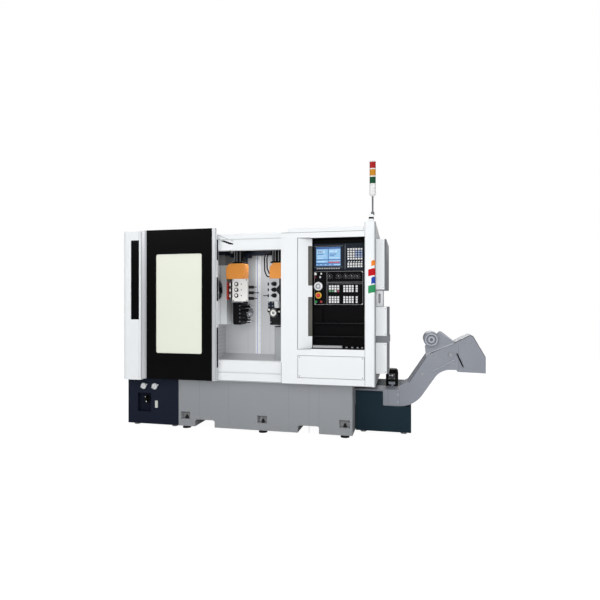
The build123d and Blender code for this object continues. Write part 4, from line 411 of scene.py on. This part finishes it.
# Tool posts. Cast iron blocks with a white front plate over a blued core, sleeves with turning tools in
# three rows on both sides, an orange belt casing, and a black servo motor on top.
MOTOR_BLACK = finish("black_motor_enamel", "#0A0A0C", 0.42, mottle=0.08, specular=0.12)
ORANGE_ENAMEL = finish("orange_enamel", "#FFA64C", 0.4, mottle=0.03, specular=0.3)
BLUED_STEEL = finish("blued_steel", "#15161B", 0.35, metallic=0.5, mottle=0.1)
PLATE_WHITE = finish("white_enamelled_plate", "#F6F5F2", 0.34, mottle=0.02)
CARBIDE = finish("carbide_and_bright_shank", "#C9CACC", 0.22, metallic=1.0)
ROD_GREY = finish("motor_tie_rod", "#9EA1A6", 0.5)
TOOL_ZS = (1140.0, 1192.0, 1244.0)
PLATE_FACE = -360.0
MOTOR_FRONT, MOTOR_Y = -346.5, -303
for side, middle, motor_x, casing_reach in (
    ("left", -582.0, -607.0, (-124, 32)),
    ("right", -234.0, -245.0, (-60, 70)),
):
    body = f"{side}_post"
    dress(f"{side}_carriage", NAVY_COAT)
    dress(f"{side}_tool_block", BLUED_STEEL)
    paint(f"{side}_tool_block", PLATE_WHITE, (middle - 74, -361, 1087), (middle + 74, -331, 1293))
    dress(f"{side}_post_casing", ORANGE_ENAMEL)
    dress(f"{side}_post_motor", MOTOR_BLACK)
    cap_screws(f"{side}_casing_screws",
               [(middle + dx, -356.6, z) for dx in casing_reach for z in (1302, 1392)], 3.6, 3, body)
    small_blocks(f"{side}_motor_tie_rods", [(motor_x + dx, MOTOR_FRONT, 1497) for dx in (-30, -8, 22)],
                 (5, 2, 96), ROD_GREY, body)
    cap_screws(f"{side}_motor_screws",
               [(motor_x + dx, MOTOR_Y + dy, 1446.5) for dx in (-44, 44) for dy in (-44, 44)], 4, 4, body,
               turn=UPRIGHT)
    dress(f"{side}_live_nose", GROUND_STEEL)

paint("left_tool_block", finish("red_guard_bar", "#B9392C", 0.4), (-730, -320, 1100), (-708, -280, 1270))
paint("left_tool_block", LINE_BLACK, (-640, -367, 1100), (-590, -360.4, 1290))
shape("left_sleeve_rings", LINE_BLACK, "left_post",
      rods=[("Y", (-615, z), PLATE_FACE - 6, PLATE_FACE, 19) for z in TOOL_ZS])
shape("left_sleeve_ends", PLATE_WHITE, "left_post",
      rods=[("Y", (-617, z + 2), PLATE_FACE - 6.6, PLATE_FACE - 6, 12) for z in TOOL_ZS])
shape("left_holder_collars", PLATE_WHITE, "left_post",
      rods=[("X", (SPINDLE_Y, z), -700, -684, 17) for z in TOOL_ZS])
shape("left_holder_nuts", LINE_BLACK, "left_post",
      rods=[("X", (SPINDLE_Y, z), -684, -657, 22) for z in TOOL_ZS])
cap_screws("left_plate_screws", [(-568, PLATE_FACE - 1, z) for z in TOOL_ZS]
           + [(x, PLATE_FACE - 1, z) for x in (-645, -519) for z in (1098, 1282)], 4.6, 3, "left_post",
           head=BLACK_OXIDE)
shape("left_chip_lip", ZINC_STEEL, "left_post",
      boxes=[((-670, -352, 1076), (-560, -322, 1087.5))], bevel=1.5)
paint("right_tool_block", BLUED_STEEL, (-209, -361, 1087), (-160, -331, 1293))
paint("right_tool_block", finish("pale_grey_plate", "#C4C6C8", 0.4), (-308, -360.5, 1087), (-209, -331, 1293),
      (0, -1, 0))
shape("right_clamp_wedges", BLUED_STEEL, "right_post",
      rods=[("Y", (-254, z), PLATE_FACE - 6, PLATE_FACE, 20) for z in TOOL_ZS],
      prisms=profiles_on(PLATE_FACE, 5, [[(-292, z), (-258, z - 19), (-258, z + 19)] for z in TOOL_ZS]))
shape("right_plate_edge", BLUED_STEEL, "right_post",
      boxes=plates_on(PLATE_FACE, 0.6, [(-213, 1088, -161, 1292)]))

# Live tool units. Black gear boxes with bright cap screws, collet nuts and one driven nose each; bevel
# gears inside would turn the noses, and drills stand in the left unit's collets.
LIVE_Y = -345
NOSE_Z = 985
RIGHT_NOSE = (-258, NOSE_Z)
COLLET_END = -548
COLLETS = ((908, 30, 15), (944, 14, 13), (1026, 20, 14), (1056, 34, 12))
DRILLS = ((908, 30), (1026, 20), (1056, 34))
dress("left_live_unit", MOTOR_BLACK)
paint("left_live_unit", GROUND_STEEL, (-500, -330, 890), (-440, -290, 1070))
cap_screws("left_live_screws", [(-583, -361.2, z) for z in (905, 941, 977, 1013, 1049)], 6.5, 3, "left_post")
cap_screws("left_nose_screws", [(x, y, z) for x, radius in ((-506, 34), (-478, 20))
                                for y, z in ring(LIVE_Y, NOSE_Z, radius, range(180, 361, 36))],
           6, 4, "left_nose", head=CARBIDE)
shape("left_live_collets", BLUED_STEEL, "left_post",
      rods=[("X", (LIVE_Y, z), COLLET_END - 28, COLLET_END + reach, radius) for z, reach, radius in COLLETS])
shape("left_live_drills", CARBIDE, "left_post",
      rods=[("X", (LIVE_Y, z), COLLET_END + reach, COLLET_END + 33 + reach, 4) for z, reach in DRILLS])
dress("right_live_unit", finish("dark_enamelled_iron", "#090A0D", 0.5, mottle=0.08, bump=0.10, specular=0.1))
paint("right_live_unit", NAVY_COAT, (-318, -361, 1000), (-263, -329, 1088))
paint("right_live_unit", LIGHT_GREY, (-262, -376, 1028), (-206, -331, 1089))
NOSE_BRIGHT = finish("polished_nose_steel", "#D8D6CF", 0.3, mottle=0.06)
shape("right_nose_face", NOSE_BRIGHT, "right_nose",
      rods=[("Y", RIGHT_NOSE, -396.6, -396, 25)])
shape("right_nose_core", GROUND_STEEL, "right_nose",
      rods=[("Y", RIGHT_NOSE, -397.2, -396.6, 13)])
shape("right_nozzles", NOSE_BRIGHT, "right_post",
      rods=[("Y", (x, z), -366, -359, 8) for x, z in ((-306, 1012), (-212, 996))])
cap_screws("right_live_screws", [(x, PLATE_FACE - 1, z) for x in (-308, -274) for z in (1018, 1048, 1078)]
           + [(-300, -331.0, 960), (-300, -331.0, 900)], 5.5, 3, "right_post")

# Enclosure. Folded sheet steel with a white powder coat, screwed to the base; a plain black band runs
# down the left cover, and thin dark lines stand for the gaps between the sheets.
FRONT = -780.0
FASCIA_FACE = -741.0
for name in ("left_cover", "roof_panel", "front_fixed_panel", "door_sill", "rear_panel", "right_side_panel",
             "control_frame", "blank_cover", "rear_cabinet"):
    dress(name, WHITE_COAT)
GLOSS_BLACK = finish("black_gloss_enamel", "#060607", 0.3, mottle=0.05, bump=0.02, specular=0.06)
shape("cover_band", GLOSS_BLACK, "machine",
      boxes=plates_on(FRONT, 0.4, [(-1420, 933, -1344, 1612)]))
SEAM_GREY = finish("shaded_white_seam", "#6E7276", 0.6, specular=0.1)
shape("cover_seams", SEAM_GREY, "machine",
      boxes=plates_on(FRONT, 0.3, [(-1345, 418, -1343.6, 1688)])
      + [((LEFT_END - 0.3, 180, 418), (LEFT_END, 182, 1688)),
         ((LEFT_END - 0.3, -330, 700), (LEFT_END, -270, 702))])
shape("bar_feed_ring", BLACK_OXIDE, "machine",
      rods=[("X", (SPINDLE_Y, SPINDLE_Z), LEFT_END - 0.4, LEFT_END, 60)])
shape("splay_seams", SEAM_GREY, "machine",
      boxes=plates_on(FRONT, 0.3, [(49, 706, 54, 1596), (54, 1591, 160, 1594), (54, 706, 160, 709)])
      + plates_on(FRONT, 0.2, [(582, 440, 584.5, 1700)]))
shape("grip_cups", finish("grip_cup_grey", "#77756F", 0.5, specular=0.2), "machine",
      boxes=plates_on(-708, 4, [(124, low, 159.4, high) for low, high in ((806, 1129), (1210, 1536))]))
shape("fascia_slot", LINE_BLACK, "machine", prisms=profiles_on(FASCIA_FACE, 0.6, [
    [(-634, 1612), (-634, 1605.4), (-616, 1605.4)],
    [(-622, 1594.6), (-540, 1562), (-505, 1558), (-505, 1568), (-530, 1576), (-584, 1594.6)]]))
shape("fascia_bracket", SEAM_GREY, "machine", prisms=profiles_on(FASCIA_FACE, 0.5, [
    [(-634, 1640), (-634, 1637), (-554, 1605.4), (-547, 1605.4)],
    [(-527, 1594.6), (-500, 1584), (-500, 1587), (-519, 1594.6)]]))
shape("opening_edges", SEAM_GREY, "machine",
      boxes=plates_on(FRONT, 0.3, [(-84.7, 432, -81, 600), (-84.7, 430.5, 640, 434),
                                   (-84.7, 1634, 572, 1637)])
      + plates_on(FASCIA_FACE, 0.3, [(-634, 430.5, -86, 434), (-634, 1509, -86, 1511)]))
shape("cover_outline", SEAM_GREY, "machine",
      boxes=plates_on(FRONT, 0.3, [(51, 482, 54.5, 661), (576.5, 482, 580, 661), (51, 657.5, 580, 661),
                                   (51, 482, 580, 485.5)]))
cap_screws("cover_screws", [(x, FRONT + 1.1, z) for x in (66, 565) for z in (497, 646)], 5, 2.4)
# The right side panel's outer face, which stands in shadow, is painted grey as painted shade.
paint("right_side_panel", finish("painted_shade_side_panel", "#9FA2A6", 0.5, specular=0.2), (655, -790, 400),
      (680, 640, 1720), (1, 0, 0))
GRIP_GREY = finish("grip_recess_grey", "#7E8185", 0.5)
paint("control_frame", GRIP_GREY, (129, -775, 812), (162, -700, 1123))
paint("control_frame", GRIP_GREY, (129, -775, 1216), (162, -700, 1530))

# Door. Steel leaf in black gloss enamel with satin aluminium edge profiles; the window is a frosted
# polycarbonate sheet, and a wiper, a guard and a seal line the closing edge.
dress("door_panel", GLOSS_BLACK)
SATIN_ALUMINIUM = finish("satin_anodised_aluminium", "#D2D4D7", 0.38, metallic=0.7, mottle=0.02)
dress("door_trim", SATIN_ALUMINIUM)
for name, material, slot, spans in (
    ("door_edge_wiper", NAVY_COAT, "navy_enamel", ((540, 872), (1430, 1600))),
    ("door_edge_guard", LINE_BLACK, "panel_black", ((1092, 1288),)),
    ("door_edge_seal", WHITE_COAT, "white_enamel", ((872, 1090), (1290, 1430))),
):
    shape(name, material, "door",
          boxes=[((-636, -776, low), (-634.6, -746, high)) for low, high in spans])
dress("door_window", finish("frosted_polycarbonate", "#E6EADC", 0.30, mottle=0.01, specular=0.4))

# Side boxes. Folded covers over the cable entries, white in front, their sides painted grey as painted
# shade, each held by screws. Each row of heights also gives how far the box reaches to the right.
BOX_HEIGHTS = ((1182, 1577, 66), (820, 1046, 84), (524, 766, 84))
BOX_LEFT = 662
dress("side_boxes", finish("shaded_box_side", "#7C7F84", 0.5, specular=0.2))
paint("side_boxes", WHITE_COAT, (660, -702, 500), (790, -698, 1600), (0, -1, 0))
cap_screws("box_screws", [(BOX_LEFT + reach - 10, -700.8, z) for low, high, reach in BOX_HEIGHTS
                          for z in (low + 14, high - 14)], 4, 2.4)

# Niche and control unit. A black folded tray holds the control unit: a bezel with a flat display, soft
# keys under it, and moulded light and blue data keys; below it the operator panel with its edge lines.
PANEL_BLACK = finish("black_textured_panel", "#050507", 0.5, mottle=0.08, specular=0.05)
BEZEL = finish("dark_moulded_bezel", "#141C27", 0.45, specular=0.1)
KEY_WHITE = finish("moulded_light_keys", "#D9DBDC", 0.45)
KEY_GREY = finish("moulded_grey_keys", "#A9ADB2", 0.45)
LINE_LIGHT = finish("printed_light_line", "#B4B7BA", 0.5)
UNIT_FACE = -719.0
PANEL_FACE = -709.0
SCREEN_FACE = -718.0
DISPLAY_GLOW = 0.15


def paint_caps(name, face, material, left, low, right, high):
    """Paints the caps that stand proud of a panel's face within a rectangle."""
    paint(name, material, (left, face - 4, low), (right, face - 0.5, high))


def lit_face(name, tone):
    """A self-lit display colour under a faint gloss."""
    material = bpy.data.materials.new(name)
    material.use_nodes = True
    material.node_tree.nodes.clear()
    shader = add_node(material, "ShaderNodeBsdfPrincipled", Roughness=0.25, Base_Color=colour(tone),
                      Emission_Color=colour(tone), Emission_Strength=DISPLAY_GLOW)
    add_node(material, "ShaderNodeOutputMaterial", Surface=shader.outputs["BSDF"])
    return material


dress("niche_liner", PANEL_BLACK)
dress("operator_panel", PANEL_BLACK)
dress("cnc_unit", BEZEL)
paint_caps("cnc_unit", UNIT_FACE, KEY_WHITE, 440, 1352, 565, 1510)
paint_caps("cnc_unit", UNIT_FACE, finish("moulded_blue_keys", "#93A6CC", 0.45), 502, 1434, 562, 1492)
paint_caps("cnc_unit", UNIT_FACE, KEY_GREY, 185, 1340, 400, 1364)
paint_caps("cnc_unit", UNIT_FACE, BEZEL, 440, 1402, 565, 1414)
dress("screen", lit_face("display_blue", "#35649E"))
for pane, tone, rise, outlines in (
    ("display_panes", "#7FB0D6", 0.3, (
        (192, 1424, 284, 1506), (291, 1424, 384, 1506), (192, 1398, 284, 1416), (291, 1407, 384, 1416),
        (192, 1376, 384, 1388))),
    ("display_bars", "#1F3F86", 0.3, (
        (190, 1509, 386, 1515), (190, 1418, 386, 1421), (192, 1390, 384, 1393))),
    ("display_fields", "#A9CBE4", 0.5, (
        (198, 1474, 262, 1494), (298, 1480, 358, 1494), (200, 1430, 250, 1438), (296, 1432, 372, 1438),
        (200, 1448, 270, 1454), (200, 1402, 262, 1410))),
    ("display_digits", "#274F9E", 0.5, (
        (206, 1478, 214, 1490), (220, 1478, 228, 1490), (234, 1478, 242, 1490), (300, 1462, 352, 1467),
        (300, 1450, 336, 1455), (204, 1462, 246, 1466), (334, 1483, 338, 1491), (200, 1380, 224, 1385),
        (236, 1380, 260, 1385), (272, 1380, 296, 1385), (308, 1380, 332, 1385))),
    ("display_alert", "#C04848", 0.3, ((292, 1396, 378, 1404),)),
):
    shape(pane, lit_face(pane, tone), "machine", boxes=plates_on(SCREEN_FACE, rise, outlines))
shape("bezel_lines", LINE_LIGHT, "machine",
      boxes=plates_on(UNIT_FACE, 0.3, [(422, 1345, 423.2, 1541), (176, 1529, 404, 1530),
                                       (176, 1361, 404, 1362)]))

# Operator panel. A textured black plate with light, green and red key caps, pilot lamps and printed
# lines; moulded knobs, an aluminium handwheel, the emergency stop and the buttons are set into it.
KNOB_XS = (299, 371, 427, 475, 518)
KNOB_Z = 1283.0
WHEEL = (208, 1210)
paint_caps("operator_panel", PANEL_FACE, KEY_WHITE, 290, 1060, 530, 1220)
paint_caps("operator_panel", PANEL_FACE, finish("moulded_green_keys", "#4F8C60", 0.4), 290, 1160, 332, 1181)
paint_caps("operator_panel", PANEL_FACE, finish("moulded_red_keys", "#93405A", 0.4), 358, 1160, 376, 1181)
paint("operator_panel", finish("yellow_stop_ring", "#E8C020", 0.4), (181, PANEL_FACE - 2.4, 1111),
      (233, PANEL_FACE - 0.5, 1163))
paint_caps("operator_panel", PANEL_FACE, finish("pilot_lamp_white", "#E9EAE6", 0.25), 221, 1301, 237, 1319)
paint_caps("operator_panel", PANEL_FACE, finish("pilot_lamp_red", "#6E1218", 0.25), 173, 1273, 189, 1289)
shape("panel_lines", LINE_LIGHT, "machine", boxes=plates_on(PANEL_FACE, 0.3, [
    (174, 1063, 562, 1064.5), (174, 1327, 562, 1328.5), (174, 1063, 175.5, 1328), (560.5, 1063, 562, 1328),
    (275, 1063, 276.5, 1328), (277, 1241, 562, 1242.5), (277, 1228, 562, 1229)]))
small_blocks("knob_scale_ticks", [(x, PANEL_FACE - 0.2, z) for middle in KNOB_XS
                                  for x, z in ring(middle, KNOB_Z, 23, range(210, -31, -30))],
             (2.2, 0.4, 2.2), LINE_LIGHT)
KNOB_BLACK = finish("moulded_black_knob", "#0F1012", 0.42, specular=0.35)
for number, x in enumerate(KNOB_XS, start=1):
    dress(f"rotary_knob_{number}", KNOB_BLACK)
    shape(f"knob_pointer_{number}", KEY_WHITE, f"knob_{number}",
          boxes=plates_on(PANEL_FACE - 20, 0.3, [(x - 0.8, KNOB_Z + 3, x + 0.8, KNOB_Z + 13)]))
dress("handwheel", SATIN_ALUMINIUM)
shape("handwheel_dial", finish("handwheel_grey_dial", "#7E8185", 0.4), "handwheel",
      rods=[("Y", WHEEL, PANEL_FACE - 22.3, PANEL_FACE - 22, 22)])
shape("handwheel_cap", finish("handwheel_light_cap", "#C9CACC", 0.4), "handwheel",
      rods=[("Y", WHEEL, PANEL_FACE - 22.6, PANEL_FACE - 22.3, 12)])
small_blocks("handwheel_ticks",
             [(x, PANEL_FACE - 22, z) for x, z in ring(*WHEEL, 28.5, range(90, -256, -15))],
             (1.4, 0.6, 1.4), LINE_BLACK, "handwheel")
dress("emergency_stop", finish("moulded_red_mushroom", "#C4221C", 0.32))
dress("key_switch", ZINC_STEEL)
for button, tone in (("white", "#E8E6E0"), ("green", "#1C8A44"), ("red", "#9A1E26")):
    dress(f"{button}_button", finish(f"moulded_{button}_button", tone, 0.3))
cap_screws("niche_screws", [(x, PANEL_FACE - 0.5, z) for x in (180, 556) for z in (1069, 1322)], 4, 2.4)

# Niche floor and ledges. The tray's folded edges carry a lighter line of painted highlight, a bright sill
# strip covers its front edge, and four clips hold the floor sheet down.
# Lighter grey lines along the folded edges of the ledges and the tray are painted highlights.
shape("ledge_highlights", finish("painted_highlight_edge", "#3A3C40", 0.4), "machine",
      boxes=plates_on(-729, 0.6, [(166, z + 9.5, 576, z + 10.5) for z in (801, 906)]
                      + [(300, 716, 576, 719)]))
shape("niche_sill_strip", finish("niche_sill_bright", "#B9BBBE", 0.4), "machine",
      boxes=[((166, -735, 715), (398, -700, 737))])
shape("niche_floor_clips", LINE_LIGHT, "machine",
      boxes=plates_on(-697, 5, [(x, 716, x + 14, 728) for x in (425, 470, 512, 548)]))

# Column stripes. Four plain slanted bands of paint on the corner column's edge, wrapped round the
# corner. Each row gives a band's colour, its low and high end, and its left edge.
STRIPE_ROWS = (("#E8812E", 1358, 1402, 632), ("#BE0F1C", 1282, 1340, 608), ("#2444A4", 1220, 1275, 632),
               ("#2F8F5C", 1150, 1214, 608))
for number, (tone, low, high, left) in enumerate(STRIPE_ROWS, start=1):
    shape(f"column_stripe_{number}", finish(f"stripe_paint_{number}", tone, 0.5, specular=0.1),
          "machine", rods=[("Z", (644, FRONT + 18), low + 8, high + 4, 18.3)],
          prisms=profiles_on(FRONT, 0.3, [[(left, low), (645, low + 8), (645, high + 4), (left, high - 6)]]))

# Coolant tank and pump. Welded sheet tank in slate blue on round feet, its lid screwed down; the pump's
# black motor has cooling fins and a terminal box.
LID_TOP = 349
PUMP = (772, -225)
PUMP_BOX_FACE = -300
dress("coolant_tank", finish("slate_blue_powder_coat", "#1C2D37", 0.5, mottle=0.06, specular=0.08))
paint("coolant_tank", ZINC_STEEL, (480, -505, -1), (940, 145, 19.8))
cap_screws("tank_screws", [(x, y, LID_TOP + 0.3) for x in (500, 640, 780, 916) for y in (-270, -60, 120)],
           5, 3, turn=UPRIGHT)
shape("tank_lid_seams", LINE_BLACK, "machine",
      boxes=[((706, -289, LID_TOP), (708, 139, LID_TOP + 0.3)),
             ((484, -20, LID_TOP), (932, -18, LID_TOP + 0.3))])
shape("drain_plug", ZINC_STEEL, "machine", rods=[("Y", (880, 60), 139.5, 140.4, 16)])
dress("coolant_pump", MOTOR_BLACK)
fin_angles = [angle for angle in range(0, 360, 15) if not 240 < angle < 300]
small_blocks("pump_fins", [(x, y, 424) for x, y in ring(*PUMP, 52, fin_angles)], (3.2, 3.2, 96), MOTOR_BLACK)
shape("pump_box_lid", finish("dark_grey_lid", "#2A2C30", 0.4), "machine",
      boxes=plates_on(PUMP_BOX_FACE + 1, 1, [(743, 418, 801, 468)]), bevel=0.5)
shape("pump_foot_bracket", finish("cast_pump_bracket", "#9EA3AD", 0.45), "machine",
      boxes=[((745, -297, 374), (800, -276, 396))], rods=[("Z", (776, -286), 357, 376, 11)], bevel=1.5)
shape("pump_glands", KEY_WHITE, "machine",
      rods=[("Y", (776, 452), PUMP_BOX_FACE - 2, PUMP_BOX_FACE, 8),
            ("Y", (756, 450), PUMP_BOX_FACE - 2, PUMP_BOX_FACE, 5)])
cap_screws("pump_screws", [(x, PUMP_BOX_FACE - 0.6, z) for x in (749, 795) for z in (424, 462)], 3, 2)

# Chip conveyor. Folded and welded casing in grey enamel with flanged joints, a belt tensioner slot, the
# gear motor on its wing plate, and a belt of rolled steel slats hinged on pins.
CONVEYOR_GREY = finish("conveyor_grey_enamel", "#8B8F99", 0.40, mottle=0.05)
CASING_FACE = -490.0
RAIL_FACE = CASING_FACE - 5
WING_FACE = -500.0
DRIVE = (1090, 783)
dress("conveyor_casing", CONVEYOR_GREY)
dress("conveyor_drive", CONVEYOR_GREY)
dress("conveyor_belt", finish("rolled_belt_steel", "#74777C", 0.40, metallic=1.0))
dress("drive_shaft", GROUND_STEEL)
CONVEYOR_SHADE = finish("shaded_conveyor_seam", "#5C6068", 0.5)
shape("conveyor_seams", CONVEYOR_SHADE, "machine",
      boxes=plates_on(CASING_FACE, 0.4, [(746, 232, 748, 360), (840, 232, 841.5, 399)]),
      prisms=profiles_on(CASING_FACE, 0.4, [[(1300, 545), (1302, 545), (1302, 736), (1300, 735)]])
      + profiles_on(RAIL_FACE, 0.6, [[(1332, 561), (1340, 565), (1288, 678), (1280, 674)]]))
shape("conveyor_top_band", CONVEYOR_SHADE, "machine",
      prisms=profiles_on(CASING_FACE, 0.5, [[(910, 432), (918, 426), (1054, 636), (1050, 647)]]))
cap_screws("conveyor_bolts", [(x, CASING_FACE - 1.4, z) for x, z in (
    (828, 324), (828, 263), (1114, 639), (1255, 600), (1020, 500), (1400, 760))], 8, 4)
shape("tensioner_slot", LINE_BLACK, "machine",
      prisms=profiles_on(RAIL_FACE - 0.6, 0.6, [[(1286, 668), (1294, 672), (1338, 574), (1330, 570)]]))
CONVEYOR_LIGHT = finish("lit_conveyor_edge", "#B4B8C0", 0.4)
shape("drive_end_rings", CONVEYOR_LIGHT, "machine",
      rods=[("Y", DRIVE, -529.4, -528.9, 22), ("Y", DRIVE, -525.3, -524.9, 46)])
shape("drive_end_disc", CONVEYOR_SHADE, "machine",
      rods=[("Y", DRIVE, -525.6, -525.3, 40), ("Y", DRIVE, -529.7, -529.4, 14)])
shape("wing_edges", CONVEYOR_LIGHT, "machine", prisms=profiles_on(WING_FACE, 0.4, [
    [(1052, 662), (1054, 668), (1262, 758), (1263, 753)],
    [(1152, 848), (1154, 842), (1268, 766), (1271, 768)]]))
shape("rail_edges", CONVEYOR_LIGHT, "machine",
      prisms=profiles_on(RAIL_FACE, 0.4, [[(1097, 527), (1099, 524), (1274, 624), (1272, 627)]]))
shape("hood_edges", finish("shaded_hood_edge", "#4C4F4A", 0.6), "machine",
      prisms=profiles_on(CASING_FACE, 0.4, [
          [(1262, 756), (1264, 751), (1386, 815), (1386, 821)],
          [(1392, 820), (1389, 816), (1410, 806), (1413, 811)],
          [(1409, 808), (1413, 811), (1504, 650), (1500, 650)]]))
cap_screws("drive_bolts", [(x, -525.6, z) for x, z in ring(*DRIVE, 48, range(45, 360, 90))], 4, 3)
shape("hood_rubber_flap", finish("black_rubber_flap", "#131314", 0.7), "machine",
      boxes=[((1498, -484, 524), (1501, -306, 560))])

# Signal lamp. Coloured lens rings in moulded plastic between a white cap and a white base, on a grey
# steel pole that a bracket holds to the corner column. Each row gives a lens's colour and its low end.
LENS_HEIGHT = 50
dress("tower_pole", finish("lamp_pole_grey", "#606468", 0.4, metallic=0.2))
paint("tower_pole", WHITE_COAT, (605, -765, 1700), (652, -680, 1768))
shape("tower_bracket_band", MOTOR_BLACK, "machine",
      boxes=[((610.6, -760.4, 1728), (647.4, -685.6, 1742))])
dress("signal_lamp", finish("white_lamp_housing", "#E2E3E2", 0.3))
for name, tone, low in (("green_lens", "#02492B", 2011), ("amber_lens", "#C8861A", 2071),
                        ("red_lens", "#A81414", 2129)):
    paint("signal_lamp", finish(name, tone, 0.35, specular=0.2), (580, -760, low),
          (700, -640, low + LENS_HEIGHT))

# Rear cabinet. Electrical cabinet of folded sheet with two doors on outside hinges, turned latches, a
# black handle plate in the middle and louvred filters.
CABINET_FACE = 777.0
shape("rear_hinges", MOTOR_BLACK, "machine",
      rods=[("Z", (x, 770), z, z + 60, 5.5) for x in (-562, 562) for z in (760, 1090, 1420)])
dress("rear_cabinet", finish("light_grey_cabinet_enamel", "#CDD0D2", 0.45, mottle=0.04))
paint("rear_cabinet", MOTOR_BLACK, (-44, CABINET_FACE + 0.5, 1050), (44, CABINET_FACE + 4, 1190))
small_blocks("cabinet_louvres",
             [(x, CABINET_FACE + 0.6, 760 + 14 * row) for x in (-280, 280) for row in range(9)],
             (180, 1.8, 5), LINE_BLACK)
shape("cabinet_latches", SATIN_ALUMINIUM, "machine",
      rods=[("Y", (x, z), CABINET_FACE, CABINET_FACE + 2.4, 11) for x in (-90, 90) for z in (720, 1520)])
